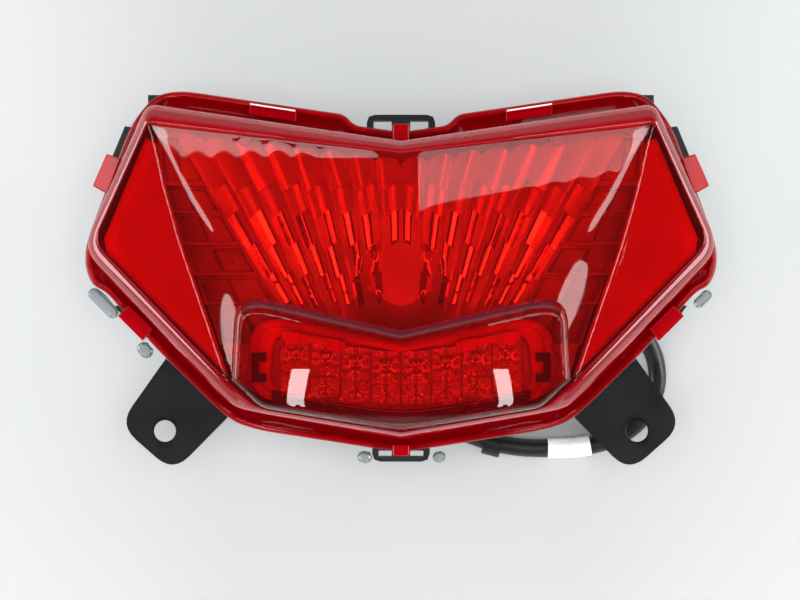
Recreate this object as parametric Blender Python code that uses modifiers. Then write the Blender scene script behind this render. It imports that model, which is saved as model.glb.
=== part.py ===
"""Motorcycle tail light lying on its back: lens up (+Z), lamp width along X, top edge towards +Y.

Every length below is in millimetres and becomes metres when a mesh is made. The origin is at the
middle of the lamp's plan, on the surface that the rear skirt stands on.
"""

import math

import bmesh
import bpy
from mathutils import Matrix, Vector

MM = 0.001
GAP = 0.3  # clearance between pieces that touch

# Lens and its flange
FLANGE_TOP = 60.0
FLANGE_BOTTOM = 57.3
LENS_WALL = 2.6
TONGUE_BOTTOM = 53.9
TAB_BOTTOM = 56.0
# Right half of the flange's edge, from the top middle to the bottom middle
FLANGE_HALF = (
    (0, 53.7), (17, 56.2), (20, 60.1), (81, 69.0), (90, 66.8), (98.5, 56.2), (114.6, 13.7),
    (115.2, 5.0), (112.5, -2.0), (107.5, -4.3), (88, -26.3), (62.5, -51.3), (52, -54.8), (0, -62.9),
)
# Right half of the foot of the lens walls
FOOT_HALF = ((0, 49.5), (91, 63.3), (113.4, 15.5), (113.4, 8.2), (61.5, -46.0), (0, -57.5))
# The same foot with its cut-back side corner left sharp, for the deep insets of the tub
TUB_HALF = ((0, 49.5), (91, 63.3), (115.7, 10.6), (61.5, -46.0), (0, -57.5))
# Right half of the rim, the outer edge of the rounded band, and of the face inside the band
RIM_HALF = (
    (0, 48.7, 85), (90.2, 62.5, 79), (112.3, 15.5, 71.5), (112.3, 8.8, 71.3), (60.7, -44.7, 79),
    (0, -55.8, 82),
)
FACE_HALF = (
    (0, 43.8, 90), (89.7, 54.4, 84), (108.1, 14.4, 76), (61.1, -36.4, 84), (0, -49.0, 87),
    (75.0, 28.0, 85.6), (84.0, 28.0, 84.0), (0, -18.6, 89),
)
# Right half of the raised lower window: its edge at the face, and its crowned front
WINDOW_EDGE_HALF = (
    (0, -18.2), (50.5, -6.2), (56.8, -8.6), (59.0, -14.0), (59.6, -35.4), (57.5, -42.5), (0, -53.4),
)
WINDOW_FRONT_HALF = (
    (0, -20.6, 95), (50.0, -8.8, 92.5), (54.8, -10.8, 92.0), (57.0, -16.0, 91.5), (57.4, -34.0, 88.5),
    (55.5, -40.5, 85.5), (0, -51.0, 88), (0, -36.0, 95.5), (40, -30.0, 94.0),
)
WINDOW_BOTTOM = 72.0

# Housing
RIM_TOP = FLANGE_BOTTOM - GAP
RIM_BOTTOM = 50.0
TUB_FLOOR = 30.0
BOX_HALF_WIDTH = 44.0
BOX_LOW_Y = -20.0
BOX_HIGH_Y = 28.0
BOX_REAR = 12.0
HOUSING_WALL = 2.5
SKIRT_HALF_WIDTH = 40.0
SKIRT_LOW_Y = -18.0
SKIRT_HIGH_Y = 26.0
SKIRT_WALL = 3.0
GROOVE_BOTTOM = 52.0

# Bulb and its twist-lock holder, on one axis along Z
BULB_X, BULB_Y = 0.0, 2.0
HOLDER_HOLE_RADIUS = 12.0
HOLDER_LUGS = 3
LUG_TURN = math.radians(-45)  # from the locked place to the notches, anticlockwise from behind

# Main reflector: tier edges as (y, z), from the bottom up
REFLECTOR_ROWS = ((-23, 46), (12.4, 56), (13.0, 61), (22.0, 63.5), (22.6, 68.5), (42, 75))
FLUTE_PITCH = 9.4
FLUTE_DEPTH = 1.6
FLUTES = 19
FLUTE_LEAN = 0.42

# LED unit behind the raised window
LED_COUNT = 8
LED_PITCH = 10.8
BOARD_BOTTOM = 62.0
BOARD_THICK = 1.6
TRAY_BOTTOM = 66.8
TRAY_TOP = 77.0
BEZEL_TOP = 78.5
POST_X, POST_Y = 51.0, -29.5

# Brackets: right-hand plate outline, from under the flange out to the tip
BRACKET_BOTTOM = 44.0
BRACKET_THICK = 2.0
BRACKET_LIP = 5.0
BRACKET_HALF = ((78.0, -16.3), (104.4, -53.6), (84.3, -71.3), (53.5, -40.1))
BRACKET_HOLE = (87.4, -55.9)
BRACKET_HOLE_RADIUS = 4.0
BRACKET_PAD_RADIUS, BRACKET_PAD_THICK = 8.5, 0.6  # the stamped seat round the hole, on the back
BRACKET_SCREWS = ((76.5, -24.0), (61.0, -39.5))

# Harness: black sleeve, white tape, tie and connector
CORD_RADIUS = 3.65
CORD_GAP = 1.3  # between lengths of the cord that meet at an angle
TAPE_RADIUS = 4.1
CORD_STEP = 8.0
GROMMET_Y, GROMMET_Z = -8.0, 20.0
GROMMET_END = 58.0
CONNECTOR_END = -34.0
CONNECTOR_Y = -47.0
# The route from the grommet, round to the front of the lamp and back under its lower edge
CORD_ROUTE = (
    (58.3, -8, 20), (66, -8.2, 19.7), (75, -9.5, 18.7), (84.5, -13.5, 17), (92.5, -20.5, 14.6),
    (97.6, -30, 11.8), (98.6, -40, 9.2), (95.2, -50, 7.2), (88.0, -57.8, 6.0), (78.5, -62.4, 5.4),
    (68, -64.4, 5.3), (57, -64.8, 5.4), (46, -64.4, 5.6), (35, -62.4, 5.6), (24, -58.6, 5.2),
    (13, -54.2, 4.8), (2, -50.6, 4.6), (-9, -48.4, 5.2), (-20, -47.3, 6.0), (-33.7, -47.0, 6.6),
)
TAPE_FROM, TAPE_TO = 0.47, 0.55  # shares of the route's length
TIE_AT = 0.66

parts = bpy.data.collections.new("tail_light")
helpers = bpy.data.collections.new("helpers")


def clear_scene():
    for obj in list(bpy.data.objects):
        bpy.data.objects.remove(obj, do_unlink=True)
    for collection in (parts, helpers):
        bpy.context.scene.collection.children.link(collection)
    helpers.hide_render = True


def material(name, colour, roughness=0.4, metallic=0.0, transmission=0.0):
    made = bpy.data.materials.new(name)
    made.use_nodes = True
    shader = made.node_tree.nodes["Principled BSDF"]
    shader.inputs["Base Color"].default_value = (*colour, 1)
    shader.inputs["Roughness"].default_value = roughness
    shader.inputs["Metallic"].default_value = metallic
    shader.inputs["Transmission Weight"].default_value = transmission
    made.diffuse_color = (*colour, 1)
    return made


# Outlines, as lists of (x, y) in order


def mirrored(half):
    """A closed outline from its right half, which starts and ends on the middle line."""
    return [tuple(p) for p in half] + [(-p[0], *p[1:]) for p in reversed(half[1:-1])]


def inset(outline, distance):
    """The outline moved inwards, with mitred corners. Its points run clockwise."""
    moved = []
    for i, here in enumerate(outline):
        before, after = Vector(outline[i - 1]), Vector(outline[(i + 1) % len(outline)])
        into, out = (Vector(here) - before).normalized(), (after - Vector(here)).normalized()
        left, right = Vector((into.y, -into.x)), Vector((out.y, -out.x))
        mitre = (left + right) / (1 + left.dot(right))
        moved.append(tuple(Vector(here) + mitre * distance))
    return moved


def rounded(outline, radius, steps=2):
    """The outline with its corners cut back and rounded by a quadratic arc."""
    smooth = []
    for i, here in enumerate(outline):
        corner = Vector(here)
        before, after = Vector(outline[i - 1]), Vector(outline[(i + 1) % len(outline)])
        back = min(radius, (before - corner).length * 0.45)
        on = min(radius, (after - corner).length * 0.45)
        start = corner + (before - corner).normalized() * back
        end = corner + (after - corner).normalized() * on
        for k in range(steps + 1):
            t = k / steps
            smooth.append(tuple(start * (1 - t) ** 2 + corner * 2 * t * (1 - t) + end * t * t))
    return smooth


def rectangle(half_width, low, high):
    return [(-half_width, high), (half_width, high), (half_width, low), (-half_width, low)]


# Solids, as objects


def as_object(name, mesh_data, paint=None):
    """A finished bmesh, in millimetres, as an object in metres."""
    bmesh.ops.scale(mesh_data, vec=(MM, MM, MM), verts=mesh_data.verts)
    bmesh.ops.recalc_face_normals(mesh_data, faces=mesh_data.faces)
    mesh = bpy.data.meshes.new(name)
    mesh_data.to_mesh(mesh)
    mesh_data.free()
    obj = bpy.data.objects.new(name, mesh)
    (parts if paint else helpers).objects.link(obj)
    if paint:
        mesh.materials.append(paint)
    else:
        obj.hide_render = True
        obj.display_type = "WIRE"
    return obj


def loft(rings, name="helper", paint=None):
    """A solid through closed rings of (x, y, z) that have equally many points."""
    made = bmesh.new()
    rows = [[made.verts.new(point) for point in ring] for ring in rings]
    for lower, upper in zip(rows, rows[1:]):
        for i in range(len(lower)):
            k = (i + 1) % len(lower)
            made.faces.new((lower[i], lower[k], upper[k], upper[i]))
    made.faces.new(rows[0])
    made.faces.new(rows[-1])
    return as_object(name, made, paint)


def prism(outline, low, high, name="helper", paint=None):
    return loft([[(*p, low) for p in outline], [(*p, high) for p in outline]], name, paint)


def slab(points, thickness, name="helper", paint=None):
    """A plate whose upper corners are given, and whose lower ones lie straight below."""
    return loft([[(x, y, z - thickness) for x, y, z in points], points], name, paint)


def box(low, high, name="helper", paint=None):
    made = bmesh.new()
    size = [b - a for a, b in zip(low, high)]
    middle = [(a + b) / 2 for a, b in zip(low, high)]
    bmesh.ops.create_cube(made, size=1, matrix=Matrix.Translation(middle) @ Matrix.Diagonal((*size, 1)))
    return as_object(name, made, paint)


def turned(profile, x, y, name="helper", paint=None, steps=24):
    """A solid of revolution about the Z line through (x, y), from (radius, z) pairs, top to bottom."""
    made = bmesh.new()
    rows = []
    for radius, z in profile:
        if radius == 0:
            rows.append([made.verts.new((x, y, z))])
            continue
        turn = [2 * math.pi * i / steps for i in range(steps)]
        rows.append([made.verts.new((x + radius * math.cos(a), y + radius * math.sin(a), z)) for a in turn])
    for upper, lower in zip(rows, rows[1:]):
        for i in range(steps):
            k = (i + 1) % steps
            corners = [upper[i % len(upper)], upper[k % len(upper)], lower[k % len(lower)], lower[i % len(lower)]]
            made.faces.new(dict.fromkeys(corners))
    for row in (rows[0], rows[-1]):
        if len(row) > 1:
            made.faces.new(row)
    return as_object(name, made, paint)


def cylinder(x, y, radius, low, high, name="helper", paint=None, steps=16):
    return turned([(radius, high), (radius, low)], x, y, name, paint, steps)


def along_x(obj, y, z):
    """Turns a solid made about the world's Z axis to lie along +X, through (y, z)."""
    obj.data.transform(Matrix.Translation((0, y * MM, z * MM)) @ Matrix.Rotation(math.radians(90), 4, "Y"))
    return obj


def hull_half(points, name):
    """The convex hull of a right half, open on the middle plane and mirrored there."""
    made = bmesh.new()
    for point in points:
        made.verts.new(point)
    hull = bmesh.ops.convex_hull(made, input=made.verts)
    loose = {v for v in hull["geom_interior"] + hull["geom_unused"] if isinstance(v, bmesh.types.BMVert)}
    bmesh.ops.delete(made, geom=list(loose), context="VERTS")
    middle = [f for f in made.faces if all(abs(v.co.x) < 1e-6 for v in f.verts)]
    bmesh.ops.delete(made, geom=middle, context="FACES_ONLY")
    obj = as_object(name, made)
    mirror = obj.modifiers.new("mirror", "MIRROR")
    mirror.merge_threshold = 0.00001
    return settle(obj)


def settle(obj):
    """Applies the modifiers of an object."""
    graph = bpy.context.evaluated_depsgraph_get()
    mesh = bpy.data.meshes.new_from_object(obj.evaluated_get(graph))
    obj.modifiers.clear()
    obj.data = mesh
    return obj


def combine(obj, others, operation):
    """Boolean of an object with helper solids, which are used up."""
    for other in others:
        boolean = obj.modifiers.new(operation.lower(), "BOOLEAN")
        boolean.operation = operation
        boolean.object = other
    settle(obj)
    for other in others:
        bpy.data.objects.remove(other, do_unlink=True)
    return obj


def joined(obj, *others):
    return combine(obj, others, "UNION")


def cut(obj, *others):
    return combine(obj, others, "DIFFERENCE")


def finish(obj, name, paint):
    """Makes a part of a helper solid."""
    obj.name = obj.data.name = name
    obj.data.materials.clear()
    obj.data.materials.append(paint)
    obj.hide_render = False
    obj.display_type = "TEXTURED"
    helpers.objects.unlink(obj)
    parts.objects.link(obj)
    obj.data.shade_smooth()
    obj.data.set_sharp_from_angle(angle=math.radians(30))
    return obj


def ring(outline_out, outline_in, low, high):
    return cut(prism(outline_out, low, high), prism(outline_in, low - 1, high + 1))


def with_z(points, z):
    return [(p[0], p[1], z) for p in points]


def tube(points, radius, name, paint, resolution=2):
    """A round tube with closed ends along points in millimetres."""
    curve = bpy.data.curves.new(name, "CURVE")
    curve.dimensions = "3D"
    curve.bevel_depth = radius * MM
    curve.bevel_resolution = resolution
    curve.use_fill_caps = True
    spline = curve.splines.new("POLY")
    spline.points.add(len(points) - 1)
    for place, point in zip(spline.points, points):
        place.co = (*(Vector(point) * MM), 1)
    obj = bpy.data.objects.new(name, curve)
    parts.objects.link(obj)
    curve.materials.append(paint)
    return obj


def smooth_route(points, step):
    """Evenly spaced points along the Catmull-Rom curve through the given ones."""
    ends = [Vector(points[0]) * 2 - Vector(points[1]), *map(Vector, points)]
    ends.append(Vector(points[-1]) * 2 - Vector(points[-2]))
    fine = []
    for a, b, c, d in zip(ends, ends[1:], ends[2:], ends[3:]):
        for k in range(24):
            t = k / 24
            fine.append(0.5 * (2 * b + (c - a) * t + (2 * a - 5 * b + 4 * c - d) * t * t
                               + (3 * b - a - 3 * c + d) * t ** 3))
    fine.append(Vector(points[-1]))
    lengths = [0.0]
    for a, b in zip(fine, fine[1:]):
        lengths.append(lengths[-1] + (b - a).length)
    count = round(lengths[-1] / step)
    even, k = [], 0
    for i in range(count + 1):
        target = lengths[-1] * i / count
        while k < len(fine) - 2 and lengths[k + 1] < target:
            k += 1
        share = (target - lengths[k]) / (lengths[k + 1] - lengths[k])
        even.append(fine[k].lerp(fine[k + 1], share))
    return even


# The parts


def make_lens(paint):
    foot = list(FOOT_HALF)
    body = hull_half(with_z(foot, FLANGE_BOTTOM + 1.2) + list(RIM_HALF) + list(FACE_HALF), "lens_body")
    low = with_z(WINDOW_EDGE_HALF, WINDOW_BOTTOM)
    window = hull_half(low + with_z(WINDOW_EDGE_HALF, 80) + list(WINDOW_FRONT_HALF), "lens_window")
    shell = joined(body, window)
    open_below(shell, (FLANGE_BOTTOM + 1.2) * MM)
    wall = shell.modifiers.new("wall", "SOLIDIFY")
    wall.thickness = LENS_WALL * MM
    wall.offset = -1
    wall.use_even_offset = True
    settle(shell)
    outline = rounded(mirrored(FLANGE_HALF), 4)
    foot_line = mirrored(FOOT_HALF)
    flange = ring(outline, inset(foot_line, 1.3), FLANGE_BOTTOM, FLANGE_TOP)
    tongue = ring(inset(foot_line, 0.3), inset(foot_line, 2.2), TONGUE_BOTTOM, FLANGE_BOTTOM + 2)
    joined(shell, flange)
    joined(shell, tongue)
    for tab in lens_tabs():
        joined(shell, tab)
    return finish(shell, "outer_lens", paint)


def open_below(obj, height):
    """Removes the flat underside of a solid."""
    made = bmesh.new()
    made.from_mesh(obj.data)
    under = [f for f in made.faces if all(abs(v.co.z - height) < 1e-6 for v in f.verts)]
    bmesh.ops.delete(made, geom=under, context="FACES_ONLY")
    made.to_mesh(obj.data)
    made.free()


# Snap tabs of the lens on its right side, as plan corners
SIDE_TABS = (
    ((101.8, 44.0), (106.9, 45.7), (112.0, 34.1), (106.6, 31.0)),
    ((98.9, -9.2), (90.2, -17.9), (93.8, -22.3), (102.9, -13.2)),
)
TOP_TAB_X = (38.0, 55.0)
CENTRE_TAB_HALF = 3.0


def lens_tabs():
    tabs = []
    for side in (1, -1):
        for corners in SIDE_TABS:
            tabs.append(prism([(side * x, y) for x, y in corners], TAB_BOTTOM + 1.5, FLANGE_TOP + 2))
        low, high = sorted(side * x for x in TOP_TAB_X)
        outer = top_edge(low), top_edge(high)
        corners = ((low, outer[0] - 6), (low, outer[0] - 1.5), (high, outer[1] - 1.5), (high, outer[1] - 6))
        tabs.append(prism(corners, FLANGE_TOP - 1, FLANGE_TOP + 3.5))
    tabs.append(box((-CENTRE_TAB_HALF, 50.5, FLANGE_BOTTOM + 0.4), (CENTRE_TAB_HALF, 56.6, FLANGE_TOP + 2.0)))
    tabs.append(box((-CENTRE_TAB_HALF, -64.2, FLANGE_BOTTOM + 0.4), (CENTRE_TAB_HALF, -60, FLANGE_TOP + 1.2)))
    return tabs


def top_edge(x):
    """The y of the flange's long top edge at x."""
    (x0, y0), (x1, y1) = FLANGE_HALF[2:4]
    return y0 + (y1 - y0) * (abs(x) - x0) / (x1 - x0)


def make_housing(paint):
    foot_line = mirrored(FOOT_HALF)
    rim_line = inset(mirrored(FLANGE_HALF), 1.5)
    housing = prism(rim_line, RIM_BOTTOM, RIM_TOP)
    tub_line = mirrored(TUB_HALF)
    tub = loft([with_z(inset(tub_line, 26), TUB_FLOOR), with_z(inset(tub_line, 7.5), RIM_BOTTOM + 0.5)])
    rear = prism(rounded(rectangle(BOX_HALF_WIDTH, BOX_LOW_Y, BOX_HIGH_Y), 6), BOX_REAR, TUB_FLOOR + 2)
    skirt = prism(rounded(rectangle(SKIRT_HALF_WIDTH, SKIRT_LOW_Y, SKIRT_HIGH_Y), 5), 0, BOX_REAR + 0.5)
    joined(housing, tub, rear, skirt)
    joined(housing, *housing_outside())
    hollow = loft([
        with_z(inset(tub_line, 29), TUB_FLOOR + HOUSING_WALL), with_z(inset(tub_line, 11.5), 49),
        with_z(inset(tub_line, 5.5), 52), with_z(inset(tub_line, 5.5), RIM_TOP + 1),
    ])
    wall = HOUSING_WALL
    rear_hollow = prism(
        rectangle(BOX_HALF_WIDTH - wall, BOX_LOW_Y + wall, BOX_HIGH_Y - wall), BOX_REAR + wall, TUB_FLOOR + 3.5)
    wall = SKIRT_WALL
    skirt_hollow = prism(
        rectangle(SKIRT_HALF_WIDTH - wall, SKIRT_LOW_Y + wall, SKIRT_HIGH_Y - wall), -1, BOX_REAR)
    cut(housing, hollow, rear_hollow, skirt_hollow)
    groove = ring(inset(foot_line, -0.3), inset(foot_line, 3.0), GROOVE_BOTTOM, RIM_TOP + 1)
    cut(housing, groove)
    joined(housing, *housing_inside())
    cut(housing, *housing_holes())
    return finish(housing, "rear_housing", paint)


def housing_outside():
    """Bosses, latch catches and ribs on the outside of the housing."""
    made = []
    for side in (1, -1):
        for x, y in BRACKET_SCREWS:
            made.append(cylinder(side * x, y, 4.2, BRACKET_BOTTOM + BRACKET_THICK + GAP, RIM_BOTTOM + 1))
        # latch catches beside the side tabs, corner blocks at the top, and the lugs below
        made.append(prism([(side * x, y) for x, y in
                           ((96.5, 55.5), (100.8, 56.0), (106.8, 41.5), (103.0, 40.5))], 52.5, RIM_TOP))
        made.append(box(*ordered((side * 86.5, 60, 51.5), (side * 92.3, 67.4, RIM_TOP))))
        made.append(prism([(side * x, y) for x, y in
                           ((101.0, -9.0), (104.4, -9.6), (100.2, -15.0), (97.0, -13.5))], 52.5, RIM_TOP))
    # arches that the middle tabs hook into, at the top and the bottom
    top_arch = prism(rounded([(-12.5, 52), (-12.5, 60.2), (12.5, 60.2), (12.5, 52)], 3), 51.0, RIM_TOP)
    bottom_arch = prism(rounded([(-10.5, -66.4), (-10.5, -58), (10.5, -58), (10.5, -66.4)], 3), 51.0, RIM_TOP)
    made += [top_arch, bottom_arch]
    # spigot of the breather on the left wall of the rear box
    spigot = cylinder(0, 0, 2.6, -BOX_HALF_WIDTH - 6, -BOX_HALF_WIDTH + 1)
    made.append(along_x(spigot, 12, 21))
    return made


def ordered(a, b):
    """The lowest and the highest corner of a box from two opposite ones."""
    return tuple(map(min, a, b)), tuple(map(max, a, b))


def housing_inside():
    """Posts for the circuit board and for the main reflector."""
    posts = []
    for side in (1, -1):
        posts.append(cylinder(side * POST_X, POST_Y, 3.2, 34, BOARD_BOTTOM - GAP))
        posts.append(cylinder(side * EAR_X, EAR_Y, 2.8, 50.5, EAR_BOTTOM - GAP))
    return posts


EAR_X, EAR_Y, EAR_BOTTOM = 56.0, 50.2, 70.0


def housing_holes():
    holes = [cylinder(BULB_X, BULB_Y, HOLDER_HOLE_RADIUS, BOX_REAR - 1, BOX_REAR + HOUSING_WALL + 1, steps=24)]
    for i in range(HOLDER_LUGS):
        turn = 2 * math.pi * i / HOLDER_LUGS + LUG_TURN
        notch = box((8, -3.2, BOX_REAR - 1), (14.6, 3.2, BOX_REAR + HOUSING_WALL + 1))
        notch.data.transform(Matrix.Translation((BULB_X * MM, BULB_Y * MM, 0)) @ Matrix.Rotation(turn, 4, "Z"))
        holes.append(notch)
    cable = cylinder(0, 0, 5.2, BOX_HALF_WIDTH - 5, BOX_HALF_WIDTH + 5)
    holes.append(along_x(cable, GROMMET_Y, GROMMET_Z))
    breather = cylinder(0, 0, 1.2, -BOX_HALF_WIDTH - 8, -BOX_HALF_WIDTH + 5, steps=10)
    holes.append(along_x(breather, 12, 21))
    for side in (1, -1):
        for x, y in BRACKET_SCREWS:
            holes.append(cylinder(side * x, y, 1.9, BRACKET_BOTTOM, GROOVE_BOTTOM - 1, steps=10))
        holes.append(cylinder(side * POST_X, POST_Y, 1.4, 50, BOARD_BOTTOM + 1, steps=10))
        holes.append(cylinder(side * EAR_X, EAR_Y, 1.4, 60, EAR_BOTTOM + 1, steps=10))
        # windows in the arches, beside the middle tabs
        holes.append(box(*ordered((side * 3.4, 54.4, 50), (side * 10.0, 58.0, RIM_TOP + 1))))
        holes.append(box(*ordered((side * 3.4, -64.6, 50), (side * 8.2, -62.4, RIM_TOP + 1))))
    return holes


def make_sealant(paint):
    """The bead in the housing's groove, and the beads that were squeezed out of it."""
    foot_line = mirrored(FOOT_HALF)
    bead = ring(inset(foot_line, 0.1), inset(foot_line, 2.6), GROOVE_BOTTOM + GAP, TONGUE_BOTTOM - GAP)
    finish(bead, "sealant_bead", paint)
    beads = {
        "sealant_drip_left": ([(-112.4, -5.2, 53.6), (-109.2, -7.6, 54.0), (-105.6, -12.0, 53.8)], 2.3),
        "sealant_ball_left": ([(-94.2, -25.2, 53.8), (-93.3, -26.3, 53.8)], 2.6),
        "sealant_drip_right": ([(112.0, -5.6, 53.6), (109.2, -8.4, 53.6)], 2.0),
        "sealant_lump_left": ([(-13.8, -64.9, 54.2), (-12.8, -65.0, 54.2)], 2.3),
        "sealant_lump_right": ([(13.6, -64.9, 54.2), (14.4, -64.8, 54.2)], 2.1),
    }
    for name, (points, radius) in beads.items():
        capsule(points, radius, name, paint)


def capsule(points, radius, name, paint):
    """A round bead along points, with rounded ends."""
    made = bmesh.new()
    for a, b in zip(points, points[1:]):
        for k in range(4):
            middle = Vector(a).lerp(Vector(b), k / 4)
            bmesh.ops.create_icosphere(made, subdivisions=2, radius=radius, matrix=Matrix.Translation(middle))
    bmesh.ops.create_icosphere(made, subdivisions=2, radius=radius, matrix=Matrix.Translation(points[-1]))
    points_only = [tuple(v.co) for v in made.verts]
    made.free()
    hull = bmesh.new()
    for point in points_only:
        hull.verts.new(point)
    result = bmesh.ops.convex_hull(hull, input=hull.verts)
    loose = {v for v in result["geom_interior"] + result["geom_unused"] if isinstance(v, bmesh.types.BMVert)}
    bmesh.ops.delete(hull, geom=list(loose), context="VERTS")
    bmesh.ops.dissolve_limit(hull, angle_limit=math.radians(8), verts=hull.verts, edges=hull.edges)
    return as_object(name, hull, paint)


def reflector_point(u, row):
    """A point of the main reflector: u in flutes from the middle, row in the tier list."""
    y, z = REFLECTOR_ROWS[row]
    rise = y - REFLECTOR_ROWS[0][0]
    foot = u * FLUTE_PITCH * 0.62
    x = foot + rise * FLUTE_LEAN * math.tanh(foot / 28)
    limit = 61.5 + (y - BULB_Y + 34) * 0.22
    x = max(-limit, min(limit, x))
    y += 0.045 * abs(x)
    ridge = FLUTE_DEPTH * (1 if round(2 * u) % 2 else -1) / 2
    return x, y, z + ridge - 0.0007 * x * x


def make_main_reflector(paint):
    made = bmesh.new()
    columns = [k / 2 for k in range(-FLUTES, FLUTES + 1)]
    rows = [[made.verts.new(reflector_point(u, row)) for u in columns] for row in range(len(REFLECTOR_ROWS))]
    for lower, upper in zip(rows, rows[1:]):
        for i in range(len(lower) - 1):
            made.faces.new((lower[i], lower[i + 1], upper[i + 1], upper[i]))
    reflector = as_object("helper", made)
    wall = reflector.modifiers.new("wall", "SOLIDIFY")
    wall.thickness = 1.6 * MM
    wall.offset = -1
    settle(reflector)
    cut(reflector, cylinder(BULB_X, BULB_Y, 12.4, 30, 90, steps=24))
    for side in (1, -1):
        low, high = sorted((side * (EAR_X - 4), side * (EAR_X + 4)))
        joined(reflector, box((low, 41, EAR_BOTTOM), (high, EAR_Y + 3, EAR_BOTTOM + 2)))
        cut(reflector, cylinder(side * EAR_X, EAR_Y, 1.9, EAR_BOTTOM - 3, EAR_BOTTOM + 3, steps=10))
    return finish(reflector, "main_reflector", paint)


def make_wing_panels(paint):
    corners = ((88.0, 50.5, 74.0), (106.4, 14.0, 66.4), (105.6, 8.0, 66.4), (64.5, -31.5, 73.5), (79.0, 14.0, 74.0))
    for side, name in ((1, "wing_panel_right"), (-1, "wing_panel_left")):
        points = [(side * x, y, z) for x, y, z in corners]
        slab(points if side > 0 else points[::-1], 1.6, name, paint)


BOARD_HALF = ((0, -27.5), (44, -21.5), (55, -24), (55, -35), (45, -44.5), (0, -49.5))
TRAY_HALF = ((0, -25.6), (44.5, -19.4), (46.2, -38.5), (42.0, -42.0), (0, -50.0))
BEZEL_HALF = ((0, -22.6), (49, -12.2), (54.2, -17), (54.8, -36), (52.0, -42.3), (0, -52.5))


def make_led_unit(board_paint, tray_paint, bezel_paint, clip_paint, led_paint, screw_paint):
    board = prism(mirrored(BOARD_HALF), BOARD_BOTTOM, BOARD_BOTTOM + BOARD_THICK)
    for side in (1, -1):
        cut(board, cylinder(side * POST_X, POST_Y, 1.8, BOARD_BOTTOM - 1, BOARD_BOTTOM + 3, steps=10))
    finish(board, "led_circuit_board", board_paint)
    tray = prism(mirrored(TRAY_HALF), TRAY_BOTTOM, TRAY_TOP)
    cells = []
    for i in range(LED_COUNT):
        x = LED_PITCH * (i - (LED_COUNT - 1) / 2)
        top = -27.2 + 0.13 * abs(x)
        width = LED_PITCH / 2 - 0.7
        cells.append(box((x - width, top - 11.2, 60), (x + width, top, 90)))
        cells.append(box((x - width, top - 18.4, 60), (x + width, top - 12.4, 90)))
        led(i + 1, x, top - 6.0, led_paint)
    cut(tray, *cells)
    finish(tray, "led_reflector_tray", tray_paint)
    bezel = ring(mirrored(BEZEL_HALF), inset(mirrored(TRAY_HALF), -0.7), 69.5, BEZEL_TOP)
    finish(bezel, "inner_bezel", bezel_paint)
    for side, name in ((1, "right"), (-1, "left")):
        low, high = sorted((side * 47.8, side * 53.0))
        clip = box((low, -36.5, BEZEL_TOP + GAP), (high, -26.0, BEZEL_TOP + 4.5))
        inner = sorted((side * 47.0, side * 50.4))
        cut(clip, box((inner[0], -33.4, BEZEL_TOP), (inner[1], -29.2, BEZEL_TOP + 6)))
        finish(clip, "bezel_clip_" + name, clip_paint)
        top = BOARD_BOTTOM + BOARD_THICK + GAP
        screw(side * POST_X, POST_Y, top, 2.8, 1.3, top + 1.8, 9.0, "board_screw_" + name, screw_paint)


def led(number, x, y, paint):
    low = BOARD_BOTTOM + BOARD_THICK + GAP
    turned([(0, low + 4.6), (1.5, low + 4.2), (2.4, low + 2.8), (2.5, low)], x, y, f"led_{number}", paint, 12)


def screw(x, y, seat, head_radius, shaft_radius, head_end, length, name, paint):
    """A pan-head screw: the head lies between seat and head_end, the shaft goes the other way."""
    up = 1 if head_end > seat else -1
    crown = (head_end - seat) * 0.45
    profile = [(0, head_end), (head_radius * 0.7, head_end - 0.15 * up), (head_radius, seat + crown),
               (head_radius, seat), (shaft_radius, seat), (shaft_radius, seat - up * length * 0.8),
               (0, seat - up * length)]
    return turned(profile if up > 0 else profile[::-1], x, y, name, paint, 12)


def make_bulb(base_paint, glass_paint, holder_paint, rubber_paint):
    holder = turned([
        (11.6, 24), (11.6, 9.2), (15.0, 9.2), (15.0, 6.4), (10.5, 6.4), (10.0, 2.0), (0, 2.0),
    ], BULB_X, BULB_Y)
    for i in range(HOLDER_LUGS):
        turn = 2 * math.pi * i / HOLDER_LUGS
        lug = box((9, -2.6, BOX_REAR + HOUSING_WALL + GAP), (14.0, 2.6, BOX_REAR + HOUSING_WALL + 2.8))
        lug.data.transform(Matrix.Translation((BULB_X * MM, BULB_Y * MM, 0)) @ Matrix.Rotation(turn, 4, "Z"))
        joined(holder, lug)
    grip = box((BULB_X - 13.5, BULB_Y - 1.6, 1.0), (BULB_X + 13.5, BULB_Y + 1.6, 6.6))
    joined(holder, grip)
    cut(holder, cylinder(BULB_X, BULB_Y, 8.4, 11, 30, steps=24))
    finish(holder, "bulb_holder", holder_paint)
    seal = cut(cylinder(BULB_X, BULB_Y, 14.6, 9.5, BOX_REAR - GAP, steps=24),
               cylinder(BULB_X, BULB_Y, 12.0, 8, BOX_REAR + 1, steps=24))
    finish(seal, "holder_gasket", rubber_paint)
    turned([(7.9, 34), (7.9, 13), (6.5, 11.4), (0, 11.4)], BULB_X, BULB_Y, "bulb_base", base_paint, 20)
    glass = [(0, 60), (4.5, 59.2), (8.0, 57), (10.0, 52.5), (10.0, 44), (8.2, 38), (7.0, 34.3)]
    turned(glass, BULB_X, BULB_Y, "bulb_glass", glass_paint, 20)


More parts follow.
